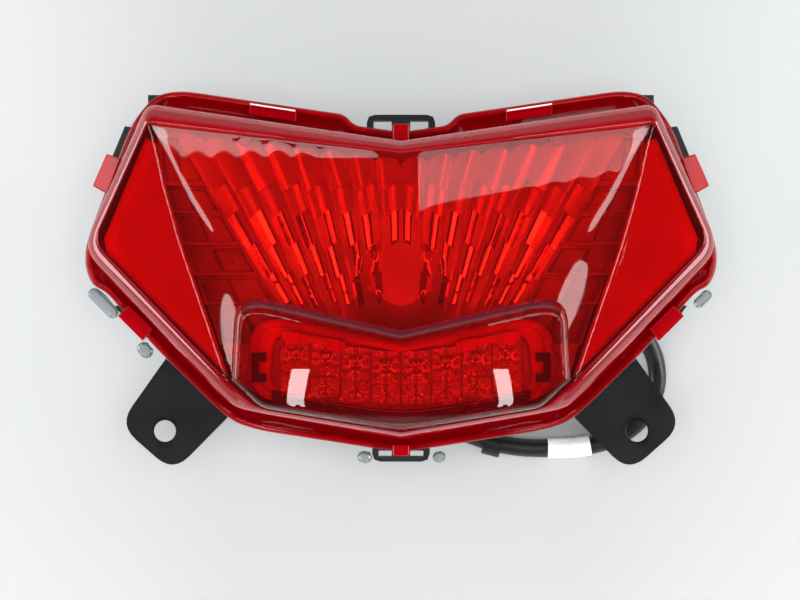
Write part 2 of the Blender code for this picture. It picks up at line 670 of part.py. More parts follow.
def make_brackets(paint, screw_paint):
    for side, name in ((1, "right"), (-1, "left")):
        corners = [(side * x, y) for x, y in BRACKET_HALF]
        tip = rounded(corners[1:3] + [corners[3], corners[0]], 8, 4)
        low, high = BRACKET_BOTTOM, BRACKET_BOTTOM + BRACKET_THICK
        bracket = prism(tip, low, high)
        for start, end in ((corners[0], corners[1]), (corners[3], corners[2])):
            joined(bracket, lip(start, end, corners, high - BRACKET_LIP - 1, high - 0.5))
        x, y = side * BRACKET_HOLE[0], BRACKET_HOLE[1]
        joined(bracket, cylinder(x, y, BRACKET_PAD_RADIUS, low - BRACKET_PAD_THICK, low + 0.5, steps=24))
        cut(bracket, cylinder(x, y, BRACKET_HOLE_RADIUS, low - 6, high + 2, steps=24))
        for x, y in BRACKET_SCREWS:
            cut(bracket, cylinder(side * x, y, 2.4, low - 6, high + 2, steps=12))
        finish(bracket, "bracket_" + name, paint)
        for i, (x, y) in enumerate(BRACKET_SCREWS):
            label = f"bracket_screw_{name}_{i + 1}"
            screw(side * x, y, low - GAP, 3.6, 1.7, low - GAP - 2.6, 6.8, label, screw_paint)


def lip(start, end, corners, low, high):
    """A strip bent back along one side of the bracket plate, from the flange towards the tip."""
    start, end = Vector(start), Vector(end)
    middle = sum((Vector(c) for c in corners), Vector((0, 0))) / 4
    run = (end - start).normalized()
    inwards = Vector((-run.y, run.x))
    if inwards.dot(middle - start) < 0:
        inwards = -inwards
    a, b = start + run * 19 + inwards * 0.2, end - run * 8 + inwards * 0.2
    strip = [tuple(a), tuple(b), tuple(b + inwards * 1.8), tuple(a + inwards * 1.8)]
    return prism(strip, low, high)


def make_harness(cord_paint, tape_paint, tie_paint, rubber_paint, shell_paint, metal_paint):
    grommet = turned([(3.9, GROMMET_END), (4.6, 50), (7.6, BOX_HALF_WIDTH + 3), (7.6, BOX_HALF_WIDTH + GAP),
                      (4.8, BOX_HALF_WIDTH + GAP), (4.8, BOX_HALF_WIDTH - 5), (0, BOX_HALF_WIDTH - 5)], 0, 0, steps=20)
    finish(along_x(grommet, GROMMET_Y, GROMMET_Z), "cable_grommet", rubber_paint)
    route = smooth_route(CORD_ROUTE, CORD_STEP)
    first, last = round(TAPE_FROM * (len(route) - 1)), round(TAPE_TO * (len(route) - 1))
    tube(stopped_short(route[:first + 1]), CORD_RADIUS, "harness_cable_upper", cord_paint)
    tube(stopped_short(route[first:last + 1]), TAPE_RADIUS, "harness_tape", tape_paint)
    tube(stopped_short(route[last:]), CORD_RADIUS, "harness_cable_lower", cord_paint)
    cable_tie(route, tie_paint)
    connector(shell_paint, metal_paint)
    inner = [(37.4, -8, 20), (34.8, -9.2, 21.5), (33, -12, 27), (32, -15, 34), (31, -21, 38), (30.5, -27, 43.5),
             (30, -32, 51), (29, -36, 61.4)]
    tube(smooth_route(inner, 5.0), 2.0, "led_lead", cord_paint)


def stopped_short(points):
    """The points with the last one pulled back, so that the next piece of the cord has its gap."""
    last, before = Vector(points[-1]), Vector(points[-2])
    return [*points[:-1], last + (before - last).normalized() * CORD_GAP]


def cable_tie(route, paint):
    at = round(TIE_AT * (len(route) - 1))
    place, heading = route[at], (route[at + 1] - route[at - 1]).normalized()
    strap = cut(cylinder(0, 0, 5.2, -3.4, 3.4, steps=20), cylinder(0, 0, 4.15, -5, 5, steps=20))
    head = box((-3.3, -8.6, -3.9), (3.3, -4.5, 3.9))
    joined(strap, head)
    turn = Vector((0, 0, 1)).rotation_difference(heading).to_matrix().to_4x4()
    upright = turn.inverted() @ Vector((0, 0, 1))
    roll = Matrix.Rotation(math.atan2(upright.y, upright.x) + math.radians(150), 4, "Z")
    strap.data.transform(Matrix.Translation(place * MM) @ turn @ roll)
    return finish(strap, "cable_tie", paint)


def connector(shell_paint, metal_paint):
    y = CONNECTOR_Y
    shell = box((CONNECTOR_END - 24, y - 8.5, 0.6), (CONNECTOR_END - GAP, y + 8.5, 12.6))
    joined(shell, box((CONNECTOR_END - 17, y - 2.5, 12), (CONNECTOR_END - 4, y + 2.5, 14.6)))
    cut(shell, box((CONNECTOR_END - 30, y - 7, 2.1), (CONNECTOR_END - 10, y + 7, 11.1)))
    finish(shell, "connector_shell", shell_paint)
    for i in range(3):
        middle = y + 4.2 * (i - 1)
        pin = box((CONNECTOR_END - 20, middle - 0.9, 6.2), (CONNECTOR_END - 10.3, middle + 0.9, 7.0))
        finish(pin, f"connector_pin_{i + 1}", metal_paint)


def make_breather(paint):
    cap = cut(cylinder(0, 0, 4.4, -BOX_HALF_WIDTH - 8.5, -BOX_HALF_WIDTH - GAP),
              cylinder(0, 0, 2.9, -BOX_HALF_WIDTH - 6.4, -BOX_HALF_WIDTH + 1))
    finish(along_x(cap, 12, 21), "breather_cap", paint)


def make_reflector_screws(paint):
    for side, name in ((1, "right"), (-1, "left")):
        seat = EAR_BOTTOM + 2 + GAP
        screw(side * EAR_X, EAR_Y, seat, 2.8, 1.3, seat + 1.8, 9.5, "reflector_screw_" + name, paint)


def main():
    clear_scene()
    red = material("red_lens", (0.55, 0.0, 0.01), 0.05, transmission=0.8)
    black = material("housing_black", (0.02, 0.025, 0.025), 0.45)
    chrome = material("chrome", (0.85, 0.85, 0.87), 0.08, 1.0)
    satin_red = material("wing_red", (0.6, 0.0, 0.01), 0.45)
    steel_black = material("bracket_black", (0.015, 0.015, 0.017), 0.35)
    zinc = material("zinc_screw", (0.6, 0.6, 0.62), 0.3, 1.0)
    rubber = material("rubber", (0.03, 0.03, 0.03), 0.7)
    sealant = material("sealant", (0.62, 0.64, 0.64), 0.25)
    glass = material("glass", (0.95, 0.95, 0.95), 0.02, transmission=1.0)
    brass = material("brass", (0.75, 0.6, 0.3), 0.3, 1.0)
    green = material("circuit_board", (0.02, 0.16, 0.06), 0.5)
    led_red = material("led_red", (0.5, 0.02, 0.02), 0.2)
    vinyl = material("vinyl_sleeve", (0.02, 0.025, 0.023), 0.4)
    tape = material("white_tape", (0.8, 0.8, 0.75), 0.4)
    nylon = material("nylon", (0.02, 0.02, 0.02), 0.4)
    make_lens(red)
    make_housing(black)
    make_sealant(sealant)
    make_main_reflector(chrome)
    make_wing_panels(satin_red)
    make_led_unit(green, chrome, satin_red, nylon, led_red, zinc)
    make_bulb(brass, glass, nylon, rubber)
    make_brackets(steel_black, zinc)
    make_harness(vinyl, tape, nylon, rubber, nylon, brass)
    make_breather(rubber)
    make_reflector_screws(zinc)


main()
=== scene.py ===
"""Motorcycle tail light on its back, seen from straight above its lens. Lengths are in millimetres
until a mesh is made. X runs across the lamp, +Y to its top edge, +Z up from the floor."""

import math
from contextlib import contextmanager

import bmesh
import bpy
import numpy as np
from mathutils import Matrix, Vector, geometry, noise


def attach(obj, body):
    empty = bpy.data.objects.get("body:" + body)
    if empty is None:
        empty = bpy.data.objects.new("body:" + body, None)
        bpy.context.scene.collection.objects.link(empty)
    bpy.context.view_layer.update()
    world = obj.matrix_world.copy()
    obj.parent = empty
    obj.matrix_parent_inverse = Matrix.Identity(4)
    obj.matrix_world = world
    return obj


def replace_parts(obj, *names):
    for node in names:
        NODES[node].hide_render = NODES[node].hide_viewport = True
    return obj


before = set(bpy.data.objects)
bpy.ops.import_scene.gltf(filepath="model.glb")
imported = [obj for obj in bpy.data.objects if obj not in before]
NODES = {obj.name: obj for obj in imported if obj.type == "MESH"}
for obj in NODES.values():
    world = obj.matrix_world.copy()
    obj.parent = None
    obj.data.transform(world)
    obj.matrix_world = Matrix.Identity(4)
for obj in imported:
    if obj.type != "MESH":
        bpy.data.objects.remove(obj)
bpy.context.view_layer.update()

MM = 0.001
LAMP = "lamp"
SIDES = (("right", 1), ("left", -1))

# Camera: straight down, so that a millimetre at height z is FOCAL_PX / (CAMERA_Z - z) wide in an
# 800-wide frame
CAMERA_X, CAMERA_Y, CAMERA_Z = -0.36, -7.4, 900.0
FOCAL_PX = 2310.0
SENSOR = 36.0

# Lens, right half of each closed line, from the top middle to the bottom middle. Entries are
# (x, y, z, corner radius).
FOOT = ((0, 49.5, 60.4, 0), (91, 63.3, 60.4, 4), (113.4, 15.5, 60.4, 6), (113.0, 8.0, 60.4, 6),
        (61.5, -46.0, 60.4, 7), (52.5, -48.2, 60.4, 7), (0, -57.5, 60.4, 0))
RIM = ((0, 48.8, 84.5, 0), (90.2, 62.4, 78.5, 4), (112.5, 15.6, 71.0, 6), (112.0, 8.6, 70.8, 6),
       (60.7, -44.9, 78.5, 7), (51.5, -47.4, 79.0, 7), (0, -56.0, 81.0, 0))
FACE = ((0, 43.8, 89.3, 0), (89.7, 54.4, 84.0, 1.5), (108.3, 15.8, 76.0, 3.5), (107.2, 11.2, 76.0, 3.5),
        (60.3, -36.6, 84.0, 1.5), (49.4, -45.6, 84.4, 3), (0, -53.6, 85.2, 0))
CREASE_A = ((89.6, 54.4), (84.6, 33.0), (78.9, 14.0), (71.2, -8.0), (62.3, -33.6), (60.3, -36.6))
CREASE_B = ((89.2, 54.4), (81.0, 40.4), (74.6, 27.4), (65.6, 12.8))
WINDOW = ((0, -18.2, 1.0), (51.0, -6.4, 8.0), (58.6, -9.6, 5.5), (60.0, -35.8, 1.0), (49.2, -45.6, 3.0),
          (0, -53.6, 2.0))
RIDGE_HEIGHT, FACE_FALL, FACE_TILT = 89.3, 0.0695, 0.0219
WING_FALL, CORNER_FALL = 0.214, 0.055
WAVE_PITCH, WAVE_INNER_X, WAVE_START_Y, WAVE_GROWTH = 9.6, 27.0, 29.0, 0.00010
WINDOW_TOP, WINDOW_CROWN = 95.3, 0.00052
WALL = 2.5

# Flange, seen as two steps: the outer lip and the ledge between the lip and the wall
FLANGE = ((0, 53.7, 0), (17.0, 56.2, 2.5), (20.6, 60.2, 2.5), (81, 69.0, 7), (90.2, 66.8, 6),
          (98.5, 56.2, 6), (114.6, 13.7, 9), (115.2, 5.0, 7), (112.5, -2.0, 6), (107.5, -4.3, 3.5),
          (88, -26.3, 8), (62.5, -51.3, 9), (52, -54.8, 6), (0, -62.9, 0))
FLANGE_TOP, FLANGE_BOTTOM = 60.0, 57.3
TONGUE_BOTTOM = 53.9

# Snap tabs on the right side, as plan corners, and the reach of the top tabs
SIDE_TABS = (
    ((101.8, 44.0), (106.9, 45.7), (112.0, 34.1), (106.6, 31.0)),
    ((98.9, -9.2), (90.2, -17.9), (93.8, -22.3), (102.9, -13.2)),
)
TOP_TAB_X = (38.0, 55.0)
BRACKET = ((78.0, -16.3), (104.4, -53.6), (84.3, -71.3), (53.5, -40.1))
BRACKET_HOLE, BRACKET_HOLE_RADIUS = (87.4, -55.9), 4.0

# Inside the window: the bezel, its opening and the LED cells
BEZEL = ((0, -22.8, 2), (46.5, -12.8, 9), (54.2, -19.0, 6), (54.6, -35.5, 4), (50.0, -42.4, 4), (0, -51.5, 2))
BEZEL_OPENING = ((0, -26.0, 1), (43.0, -20.6, 2.5), (45.2, -23.0, 2.5), (46.4, -36.5, 3), (42.6, -40.6, 3),
                 (0, -49.4, 1))
LED_COUNT, LED_PITCH = 8, 10.8

# Reflector tiers from the window up, as (low y, high y, low z, high z), and the cover over the bulb
TIERS = ((-24.0, -9.0, 48.0, 50.0), (-9.0, 1.6, 53.6, 54.9), (1.6, 12.5, 58.4, 59.7),
         (12.5, 24.1, 62.2, 63.6), (24.1, 33.5, 64.6, 67.0), (33.5, 41.0, 70.4, 73.0))
FLUTES = 8
BULB_COVER_Y, BULB_COVER_Z, BULB_COVER_RADIUS = 2.0, 62.6, 11.5
SLANT = 4.6  # how far a tier's top edge climbs across one flute
TOP_CLIMB = 9.6  # how far the top of the flutes climbs from the middle to their outer end

CORD_ROUTE = (
    (58.3, -8, 20), (66, -8.2, 19.7), (75, -9.5, 18.7), (84.5, -13.5, 17), (92.5, -20.5, 14.6),
    (97.6, -30, 11.8), (98.6, -40, 9.2), (95.2, -50, 7.2), (88.0, -57.8, 6.0), (78.5, -62.4, 5.4),
    (68, -64.4, 5.3), (57, -64.8, 5.4), (46, -64.4, 5.6), (35, -62.4, 5.6), (24, -58.6, 5.2),
    (13, -54.2, 4.8), (2, -50.6, 4.6), (-9, -48.4, 5.2), (-20, -47.3, 6.0), (-33.7, -47.0, 6.6),
)
CORD_RADIUS = 3.65
TAPE_FROM, TAPE_TO = 0.47, 0.55


# Outlines and meshes


def corner_arc(before, corner, after, radius, steps):
    """A rounded corner, as a quadratic curve that starts and ends at most radius away from it."""
    back = min(radius, (before - corner).length * 0.46)
    on = min(radius, (after - corner).length * 0.46)
    start = corner + (before - corner).normalized() * back
    end = corner + (after - corner).normalized() * on
    return [start * (1 - t) ** 2 + corner * 2 * t * (1 - t) + end * t * t
            for t in (k / steps for k in range(steps + 1))]


def loop_3d(half, arc=6, side=8):
    """A closed rounded line from its right half, with arc steps in a corner and side steps between two."""
    line = [(Vector(p[:-1]), p[-1]) for p in half]
    line += [(Vector((-p.x, p.y, p.z)), radius) for p, radius in reversed(line[1:-1])]
    count = len(line)
    arcs = [corner_arc(line[i - 1][0], here, line[(i + 1) % count][0], radius, arc) if radius else [here]
            for i, (here, radius) in enumerate(line)]
    points = []
    for i, corner in enumerate(arcs):
        following = arcs[(i + 1) % count][0]
        points += corner + [corner[-1].lerp(following, k / side) for k in range(1, side)]
    return points


def plan_loop(half, arc=6, side=8):
    """The same at z = 0, from a line in plan with entries (x, y, corner radius)."""
    return loop_3d([(x, y, 0, r) for x, y, r in half], arc, side)


def in_plan(points):
    return [Vector((p.x, p.y)) for p in points]


def columns(points):
    """The x and the y of the points, as two arrays."""
    return np.array([p[0] for p in points]), np.array([p[1] for p in points])


def blend_loops(a, b, across, height):
    """The loop between two loops, with its own share of the way across and of the way up."""
    return [Vector((*p.lerp(q, across).xy, p.z + (q.z - p.z) * height)) for p, q in zip(a, b)]


def moved_out(loop, distance, z=None):
    """The loop moved outwards in plan along its own normals, and to height z if that is given."""
    result = []
    for i, here in enumerate(loop):
        along = loop[(i + 1) % len(loop)] - loop[i - 1]
        point = here + Vector((-along.y, along.x, 0)).normalized() * distance
        if z is not None:
            point.z = z
        result.append(point)
    return result


def new_object(name, vertices, faces, materials, body=LAMP, sharp=32.0, slots=None):
    """A piece from points in millimetres. slots are the faces' places in the list of materials."""
    mesh = bpy.data.meshes.new(name)
    mesh.from_pydata([tuple(c * MM for c in v) for v in vertices], [], [list(f) for f in faces])
    for paint in materials:
        mesh.materials.append(paint)
    if slots is not None:
        mesh.polygons.foreach_set("material_index", slots)
    mesh.update()
    return placed(bpy.data.objects.new(name, mesh), body, sharp)


def placed(obj, body, sharp=32.0):
    """Links the piece, shades it smooth up to the sharp angle and puts it on its body."""
    bpy.context.scene.collection.objects.link(obj)
    obj.data.shade_smooth()
    obj.data.set_sharp_from_angle(angle=math.radians(sharp))
    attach(obj, body)
    return obj


@contextmanager
def edited(obj):
    """The object's mesh as a bmesh, which is written back afterwards."""
    made = bmesh.new()
    made.from_mesh(obj.data)
    yield made
    made.to_mesh(obj.data)
    made.free()
    obj.data.update()


def recalculated(obj):
    with edited(obj) as made:
        bmesh.ops.recalc_face_normals(made, faces=made.faces)
    return obj


def between(count, start_a, start_b):
    """Quads that join two closed rings of count vertices."""
    for i in range(count):
        k = (i + 1) % count
        yield start_a + i, start_a + k, start_b + k, start_b + i


def ring_mesh(rings):
    """The vertices and quads of a surface through closed rings of equal counts."""
    size = len(rings[0])
    faces = []
    for level in range(len(rings) - 1):
        faces += between(size, level * size, (level + 1) * size)
    return [p for ring in rings for p in ring], faces


def add_top(vertices, faces, border, points, triangles, height):
    """Adds triangulated points at their heights, and joins them to border, the last ring of vertices."""
    x, y = columns(points)
    start, last = len(vertices), len(vertices) - len(border)
    vertices += [Vector(p) for p in zip(x, y, height(x, y))]
    faces += [[start + i for i in f] for f in triangles]
    index = [start + int(np.argmin((x - p.x) ** 2 + (y - p.y) ** 2)) for p in border]
    for i in range(len(border)):
        k = (i + 1) % len(border)
        quad = [last + i, last + k, index[k], index[i]]
        if len(set(quad)) == 4:
            faces.append(quad)


def thickened(obj, thickness):
    """The sheet with a wall's thickness behind it."""
    wall = obj.modifiers.new("wall", "SOLIDIFY")
    wall.thickness = thickness * MM
    wall.offset = -1


def bevelled(obj, width, segments=3, angle=30.0):
    bevel = obj.modifiers.new("edge", "BEVEL")
    bevel.width = width * MM
    bevel.segments = segments
    bevel.limit_method = "ANGLE"
    bevel.angle_limit = math.radians(angle)
    bevel.harden_normals = True
    return obj


# Materials


NOISE_RANGE = (0.3, 0.7)  # the part of a noise texture's values over which colour and gloss change


class Paint:
    """A node material under construction."""

    def __init__(self, name):
        self.material = bpy.data.materials.new(name)
        self.material.use_nodes = True
        self.nodes = self.material.node_tree.nodes
        self.links = self.material.node_tree.links
        self.shader = self.nodes["Principled BSDF"]
        self.output = self.nodes["Material Output"]
        self.place = self.nodes.new("ShaderNodeTexCoord").outputs["Object"]

    def node(self, kind, **values):
        made = self.nodes.new(kind)
        for key, value in values.items():
            made.inputs[key].default_value = value
        return made

    def link(self, source, target):
        self.links.new(source, target)

    def noise(self, scale, detail):
        texture = self.node("ShaderNodeTexNoise", Scale=scale, Detail=detail, Roughness=0.55)
        self.link(self.place, texture.inputs["Vector"])
        return texture.outputs["Fac"]

    def ramp(self, source, low, high):
        made = self.nodes.new("ShaderNodeMapRange")
        for key, value in zip(("From Min", "From Max", "To Min", "To Max"), (*NOISE_RANGE, low, high)):
            made.inputs[key].default_value = value
        self.link(source, made.inputs["Value"])
        return made.outputs["Result"]

    def colours(self, source, *pair):
        made = self.nodes.new("ShaderNodeValToRGB")
        for stop, position, colour in zip(made.color_ramp.elements, NOISE_RANGE, pair):
            stop.position = position
            stop.color = (*colour, 1)
        self.link(source, made.inputs["Fac"])
        return made.outputs["Color"]

    def bump(self, source, distance, strength):
        made = self.node("ShaderNodeBump", Strength=strength, Distance=distance * MM)
        self.link(source, made.inputs["Height"])
        return made.outputs["Normal"]


def surface(name, dark, light, rough, drift, grain, bump, sockets=None):
    """Colour and gloss that drift over one noise, and relief from another, or the same if grain is None."""
    paint = Paint(name)
    slow = paint.noise(*drift)
    fine = paint.noise(*grain) if grain else slow
    paint.link(paint.colours(slow, dark, light), paint.shader.inputs["Base Color"])
    paint.link(paint.ramp(slow, *rough), paint.shader.inputs["Roughness"])
    paint.link(paint.bump(fine, *bump), paint.shader.inputs["Normal"])
    for key, value in (sockets or {}).items():
        paint.shader.inputs[key].default_value = value
    return paint.material


def plastic(name, dark, light, rough, grain=900.0, depth=0.02, coat=0.0, specular=0.5):
    """Moulded plastic or rubber: fine grain, slow colour drift and uneven gloss."""
    return surface(name, dark, light, rough, (60.0, 4.0), (grain, 2.0), (depth, 0.6),
                   {"Coat Weight": coat, "Coat Roughness": 0.12, "Specular IOR Level": specular})


def metal(name, dark, light, rough, grain=500.0, depth=0.01, share=1.0):
    """Metal, or with a smaller share of it a metallised moulding."""
    return surface(name, dark, light, rough, (80.0, 4.0), (grain, 3.0), (depth, 0.5), {"Metallic": share})


def see_through(name, tint, ior, body, body_share, wave=0.0):
    """Clear tinted plastic: light passes straight through, with a sharp reflection over it."""
    paint = Paint(name)
    paint.nodes.remove(paint.shader)
    slow = paint.noise(35.0, 3.0)
    clear = paint.nodes.new("ShaderNodeBsdfTransparent")
    paint.link(paint.colours(slow, tint, tuple(min(1.0, c * 1.03) for c in tint)), clear.inputs["Color"])
    inside = paint.node("ShaderNodeBsdfDiffuse", Color=(*body, 1), Roughness=0.5)
    share = paint.nodes.new("ShaderNodeMixShader")
    share.inputs["Fac"].default_value = body_share
    paint.link(clear.outputs["BSDF"], share.inputs[1])
    paint.link(inside.outputs["BSDF"], share.inputs[2])
    gloss = paint.node("ShaderNodeBsdfGlossy", Color=(1, 1, 1, 1))
    paint.link(paint.ramp(slow, 0.0, 0.02), gloss.inputs["Roughness"])
    fresnel = paint.node("ShaderNodeFresnel", IOR=ior)
    if wave:
        bent = paint.bump(paint.noise(90.0, 2.0), wave, 1.0)
        paint.link(bent, gloss.inputs["Normal"])
        paint.link(bent, fresnel.inputs["Normal"])
    mix = paint.nodes.new("ShaderNodeMixShader")
    paint.link(fresnel.outputs["Fac"], mix.inputs["Fac"])
    paint.link(share.outputs["Shader"], mix.inputs[1])
    paint.link(gloss.outputs["BSDF"], mix.inputs[2])
    paint.link(mix.outputs["Shader"], paint.output.inputs["Surface"])
    return paint.material


# Tint, IOR, colour and share of the milky body, and waviness. The lens has a material for each of its
# thicknesses: the clear face, the side walls, the dark edge of the window, the flange and the tabs.
CLEAR = {
    "red_lens": ((0.965, 0.17, 0.15), 1.6, (0.5, 0.0, 0.006), 0.05),
    "red_inside": ((0.975, 0.45, 0.30), 1.3, (0.5, 0.0, 0.006), 0.03),
    "red_band": ((0.9, 0.10, 0.09), 1.85, (0.50, 0.0, 0.008), 0.35),
    "red_edge": ((0.38, 0.03, 0.04), 1.75, (0.10, 0.015, 0.03), 0.5),
    "red_flange": ((0.8, 0.05, 0.04), 1.49, (0.34, 0.0, 0.004), 0.40),
    "red_tab": ((0.85, 0.06, 0.05), 1.49, (0.50, 0.0, 0.006), 0.5),
    "sealant": ((0.80, 0.83, 0.84), 1.6, (0.30, 0.33, 0.34), 0.42, 0.3),
    "clear_glass": ((0.97, 0.97, 0.96), 1.49, (0.8, 0.8, 0.8), 0.02),
}
# Dark and light colour, range of roughness, and where they differ from metal's own: grain, depth, metal share
METALS = {
    "chrome_reflector": ((0.90, 0.88, 0.86), (0.98, 0.97, 0.96), (0.12, 0.24), 300.0, 0.004, 0.5),
    "mirror_facets": ((0.96, 0.93, 0.88), (1.0, 0.98, 0.94), (0.03, 0.09), 300.0, 0.002, 0.85),
    "cell_reflector": ((0.90, 0.88, 0.86), (0.98, 0.97, 0.95), (0.06, 0.14), 260.0, 0.01, 0.8),
    "frame_satin": ((0.42, 0.41, 0.41), (0.58, 0.57, 0.57), (0.25, 0.4), 300.0, 0.01, 0.4),
    "zinc_screw": ((0.45, 0.44, 0.40), (0.68, 0.67, 0.62), (0.25, 0.42)),
    "bulb_metal": ((0.60, 0.52, 0.36), (0.78, 0.70, 0.52), (0.2, 0.35)),
    "brass_pin": ((0.62, 0.48, 0.22), (0.80, 0.66, 0.36), (0.2, 0.3)),
}
# The same for plastic: grain, depth, coat, specular level
PLASTICS = {
    "housing_black": ((0.003, 0.004, 0.004), (0.009, 0.011, 0.011), (0.30, 0.45), 900.0, 0.02, 0.1, 0.35),
    "black_nylon": ((0.005, 0.005, 0.005), (0.013, 0.014, 0.013), (0.30, 0.45), 900.0, 0.02, 0.0, 0.35),
    "black_rubber": ((0.014, 0.015, 0.015), (0.030, 0.031, 0.030), (0.55, 0.75), 500.0, 0.03),
    "red_satin": ((0.60, 0.0, 0.004), (0.70, 0.002, 0.008), (0.45, 0.55), 700.0, 0.01),
    "circuit_board": ((0.01, 0.10, 0.035), (0.02, 0.17, 0.06), (0.3, 0.5)),
    "led_body": ((0.5, 0.01, 0.01), (0.8, 0.05, 0.04), (0.08, 0.15), 900.0, 0.02, 1.0),
    "dark_strip": ((0.035, 0.004, 0.008), (0.06, 0.008, 0.012), (0.2, 0.35)),
    # painted highlight: the pale pink of the strip along the top tabs' upper edge stands in for the light
    # caught there
    "pale_edge": ((0.62, 0.50, 0.50), (0.80, 0.70, 0.70), (0.15, 0.25)),
    "red_dots": ((0.7, 0.01, 0.01), (0.9, 0.05, 0.04), (0.2, 0.3)),
}
# Electrocoat with a faint orange peel, vinyl tube with long soft creases, and tape with shallow ones
COVERINGS = {
    "bracket_black": ((0.003, 0.0035, 0.0035), (0.008, 0.009, 0.009), (0.26, 0.38), (70.0, 5.0),
                      (1200.0, 2.0), (0.02, 0.7), {"Specular IOR Level": 0.22}),
    "vinyl_sleeve": ((0.005, 0.006, 0.006), (0.014, 0.016, 0.015), (0.22, 0.36), (140.0, 4.0), None,
                     (0.5, 0.5)),
    "white_tape": ((0.70, 0.72, 0.73), (0.84, 0.85, 0.85), (0.25, 0.4), (160.0, 4.0), None, (0.4, 0.5)),
}


def make_materials():
    kinds = ((see_through, CLEAR), (metal, METALS), (plastic, PLASTICS), (surface, COVERINGS))
    return {name: make(name, *values) for make, table in kinds for name, values in table.items()}


# The lens


def smooth_step(value, width):
    """Softplus: 0 well below zero, value well above it, rounded over about four widths."""
    return width * np.logaddexp(0.0, value / width)


def side_distance(x, y, line):
    """How far (x, y) lies outside an open line in plan, run on at its ends, and negative inside."""
    best = np.full_like(x, 1e9)
    signed = np.zeros_like(x)
    for i, ((x0, y0), (x1, y1)) in enumerate(zip(line, line[1:])):
        dx, dy = x1 - x0, y1 - y0
        length = math.hypot(dx, dy)
        low, high = -5.0 if i == 0 else 0.0, 5.0 if i == len(line) - 2 else 1.0
        t = np.clip(((x - x0) * dx + (y - y0) * dy) / length ** 2, low, high)
        gap = np.hypot(x - x0 - t * dx, y - y0 - t * dy)
        across = (-(x - x0) * dy + (y - y0) * dx) / length
        closer = gap < best
        best = np.where(closer, gap, best)
        signed = np.where(closer, np.sign(across) * gap, signed)
    return signed


def face_height(x, y):
    """The lens face without its window. x and y are arrays of millimetres."""
    ax = np.abs(x)
    soft = np.sqrt(ax ** 2 + 6.0 ** 2) - 4.0  # rounds the ridge in the middle
    z = RIDGE_HEIGHT - FACE_FALL * soft + FACE_TILT * y
    fade = np.clip((y - 6.0) / 44.0, 0.0, 1.0)
    beyond_b = side_distance(ax, y, CREASE_B)
    z -= CORNER_FALL * fade * smooth_step(beyond_b, 0.8)
    z -= WING_FALL * smooth_step(side_distance(ax, y, CREASE_A), 0.32)
    return z + face_waves(ax, y, beyond_b)


def face_waves(ax, y, beyond_b):
    """The slight swell of the moulding over the flutes inside it, strongest at the top."""
    lobe = np.abs(np.sin(np.pi * ax / WAVE_PITCH))
    ends = np.clip((-beyond_b - 1.0) / 5.0, 0, 1) * np.clip((ax - WAVE_INNER_X) / 10.0, 0, 1)
    return WAVE_GROWTH * np.clip(y - WAVE_START_Y, 0, 40) ** 2 * lobe * ends


def outline_distance(x, y, outline):
    """Distance inside a closed clockwise outline, negative outside, and the nearest side's outward y."""
    best = np.full_like(x, 1e9)
    side_y = np.zeros_like(x)
    inside = np.zeros(x.shape, bool)
    for a, b in zip(outline, outline[1:] + outline[:1]):
        dx, dy = b.x - a.x, b.y - a.y
        length = math.hypot(dx, dy)
        if length < 1e-9:
            continue
        t = np.clip(((x - a.x) * dx + (y - a.y) * dy) / length ** 2, 0, 1)
        gap = np.hypot(x - a.x - t * dx, y - a.y - t * dy)
        closer = gap < best
        best = np.where(closer, gap, best)
        side_y = np.where(closer, dx / length, side_y)
        crosses = (a.y > y) != (b.y > y)
        where = a.x + (y - a.y) * dx / (dy if abs(dy) > 1e-12 else 1e-12)
        inside ^= crosses & (x < where)
    return np.where(inside, best, -best), side_y


def window_front(x, y):
    """The crowned front of the raised window, which falls away along its foot."""
    z = WINDOW_TOP - WINDOW_CROWN * x ** 2
    z -= 0.006 * smooth_step(-30.0 - y, 1.0) ** 2
    foot_y = -46.5 + 0.0012 * x ** 2
    return z - 0.09 * smooth_step(foot_y - y, 0.8) ** 2


def window_lift(x, y, outline, base):
    """The height with the window's wall and rounded edge on top of the face."""
    inside, up = outline_distance(x, y, outline)
    wall = 1.1 + 1.0 * np.clip(up, 0, 1)
    t = np.clip(inside / wall, 0, 3)
    steep = np.clip(t / 0.55, 0, 1)
    profile = np.where(t < 0.55, 0.72 * steep, 0.72 + 0.28 * (1 - (1 - np.clip((t - 0.55) / 1.6, 0, 1)) ** 2))
    profile = np.where(inside <= 0, 0.0, np.minimum(profile, 1.0))
    front = np.maximum(window_front(x, y), base)
    return base + (front - base) * profile


def dense_line(points, step):
    fine = []
    for a, b in zip(points, points[1:]):
        a, b = Vector(a), Vector(b)
        count = max(1, round((b - a).length / step))
        fine += [a.lerp(b, k / count) for k in range(count)]
    return fine + [Vector(points[-1])]


TRIANGLE_HEIGHT = 0.866  # of an equilateral triangle with sides of 1
FIELD_CORNER, FIELD_SIZE = (-116, -60), (232, 135)  # the area in plan that the grid of triangles covers


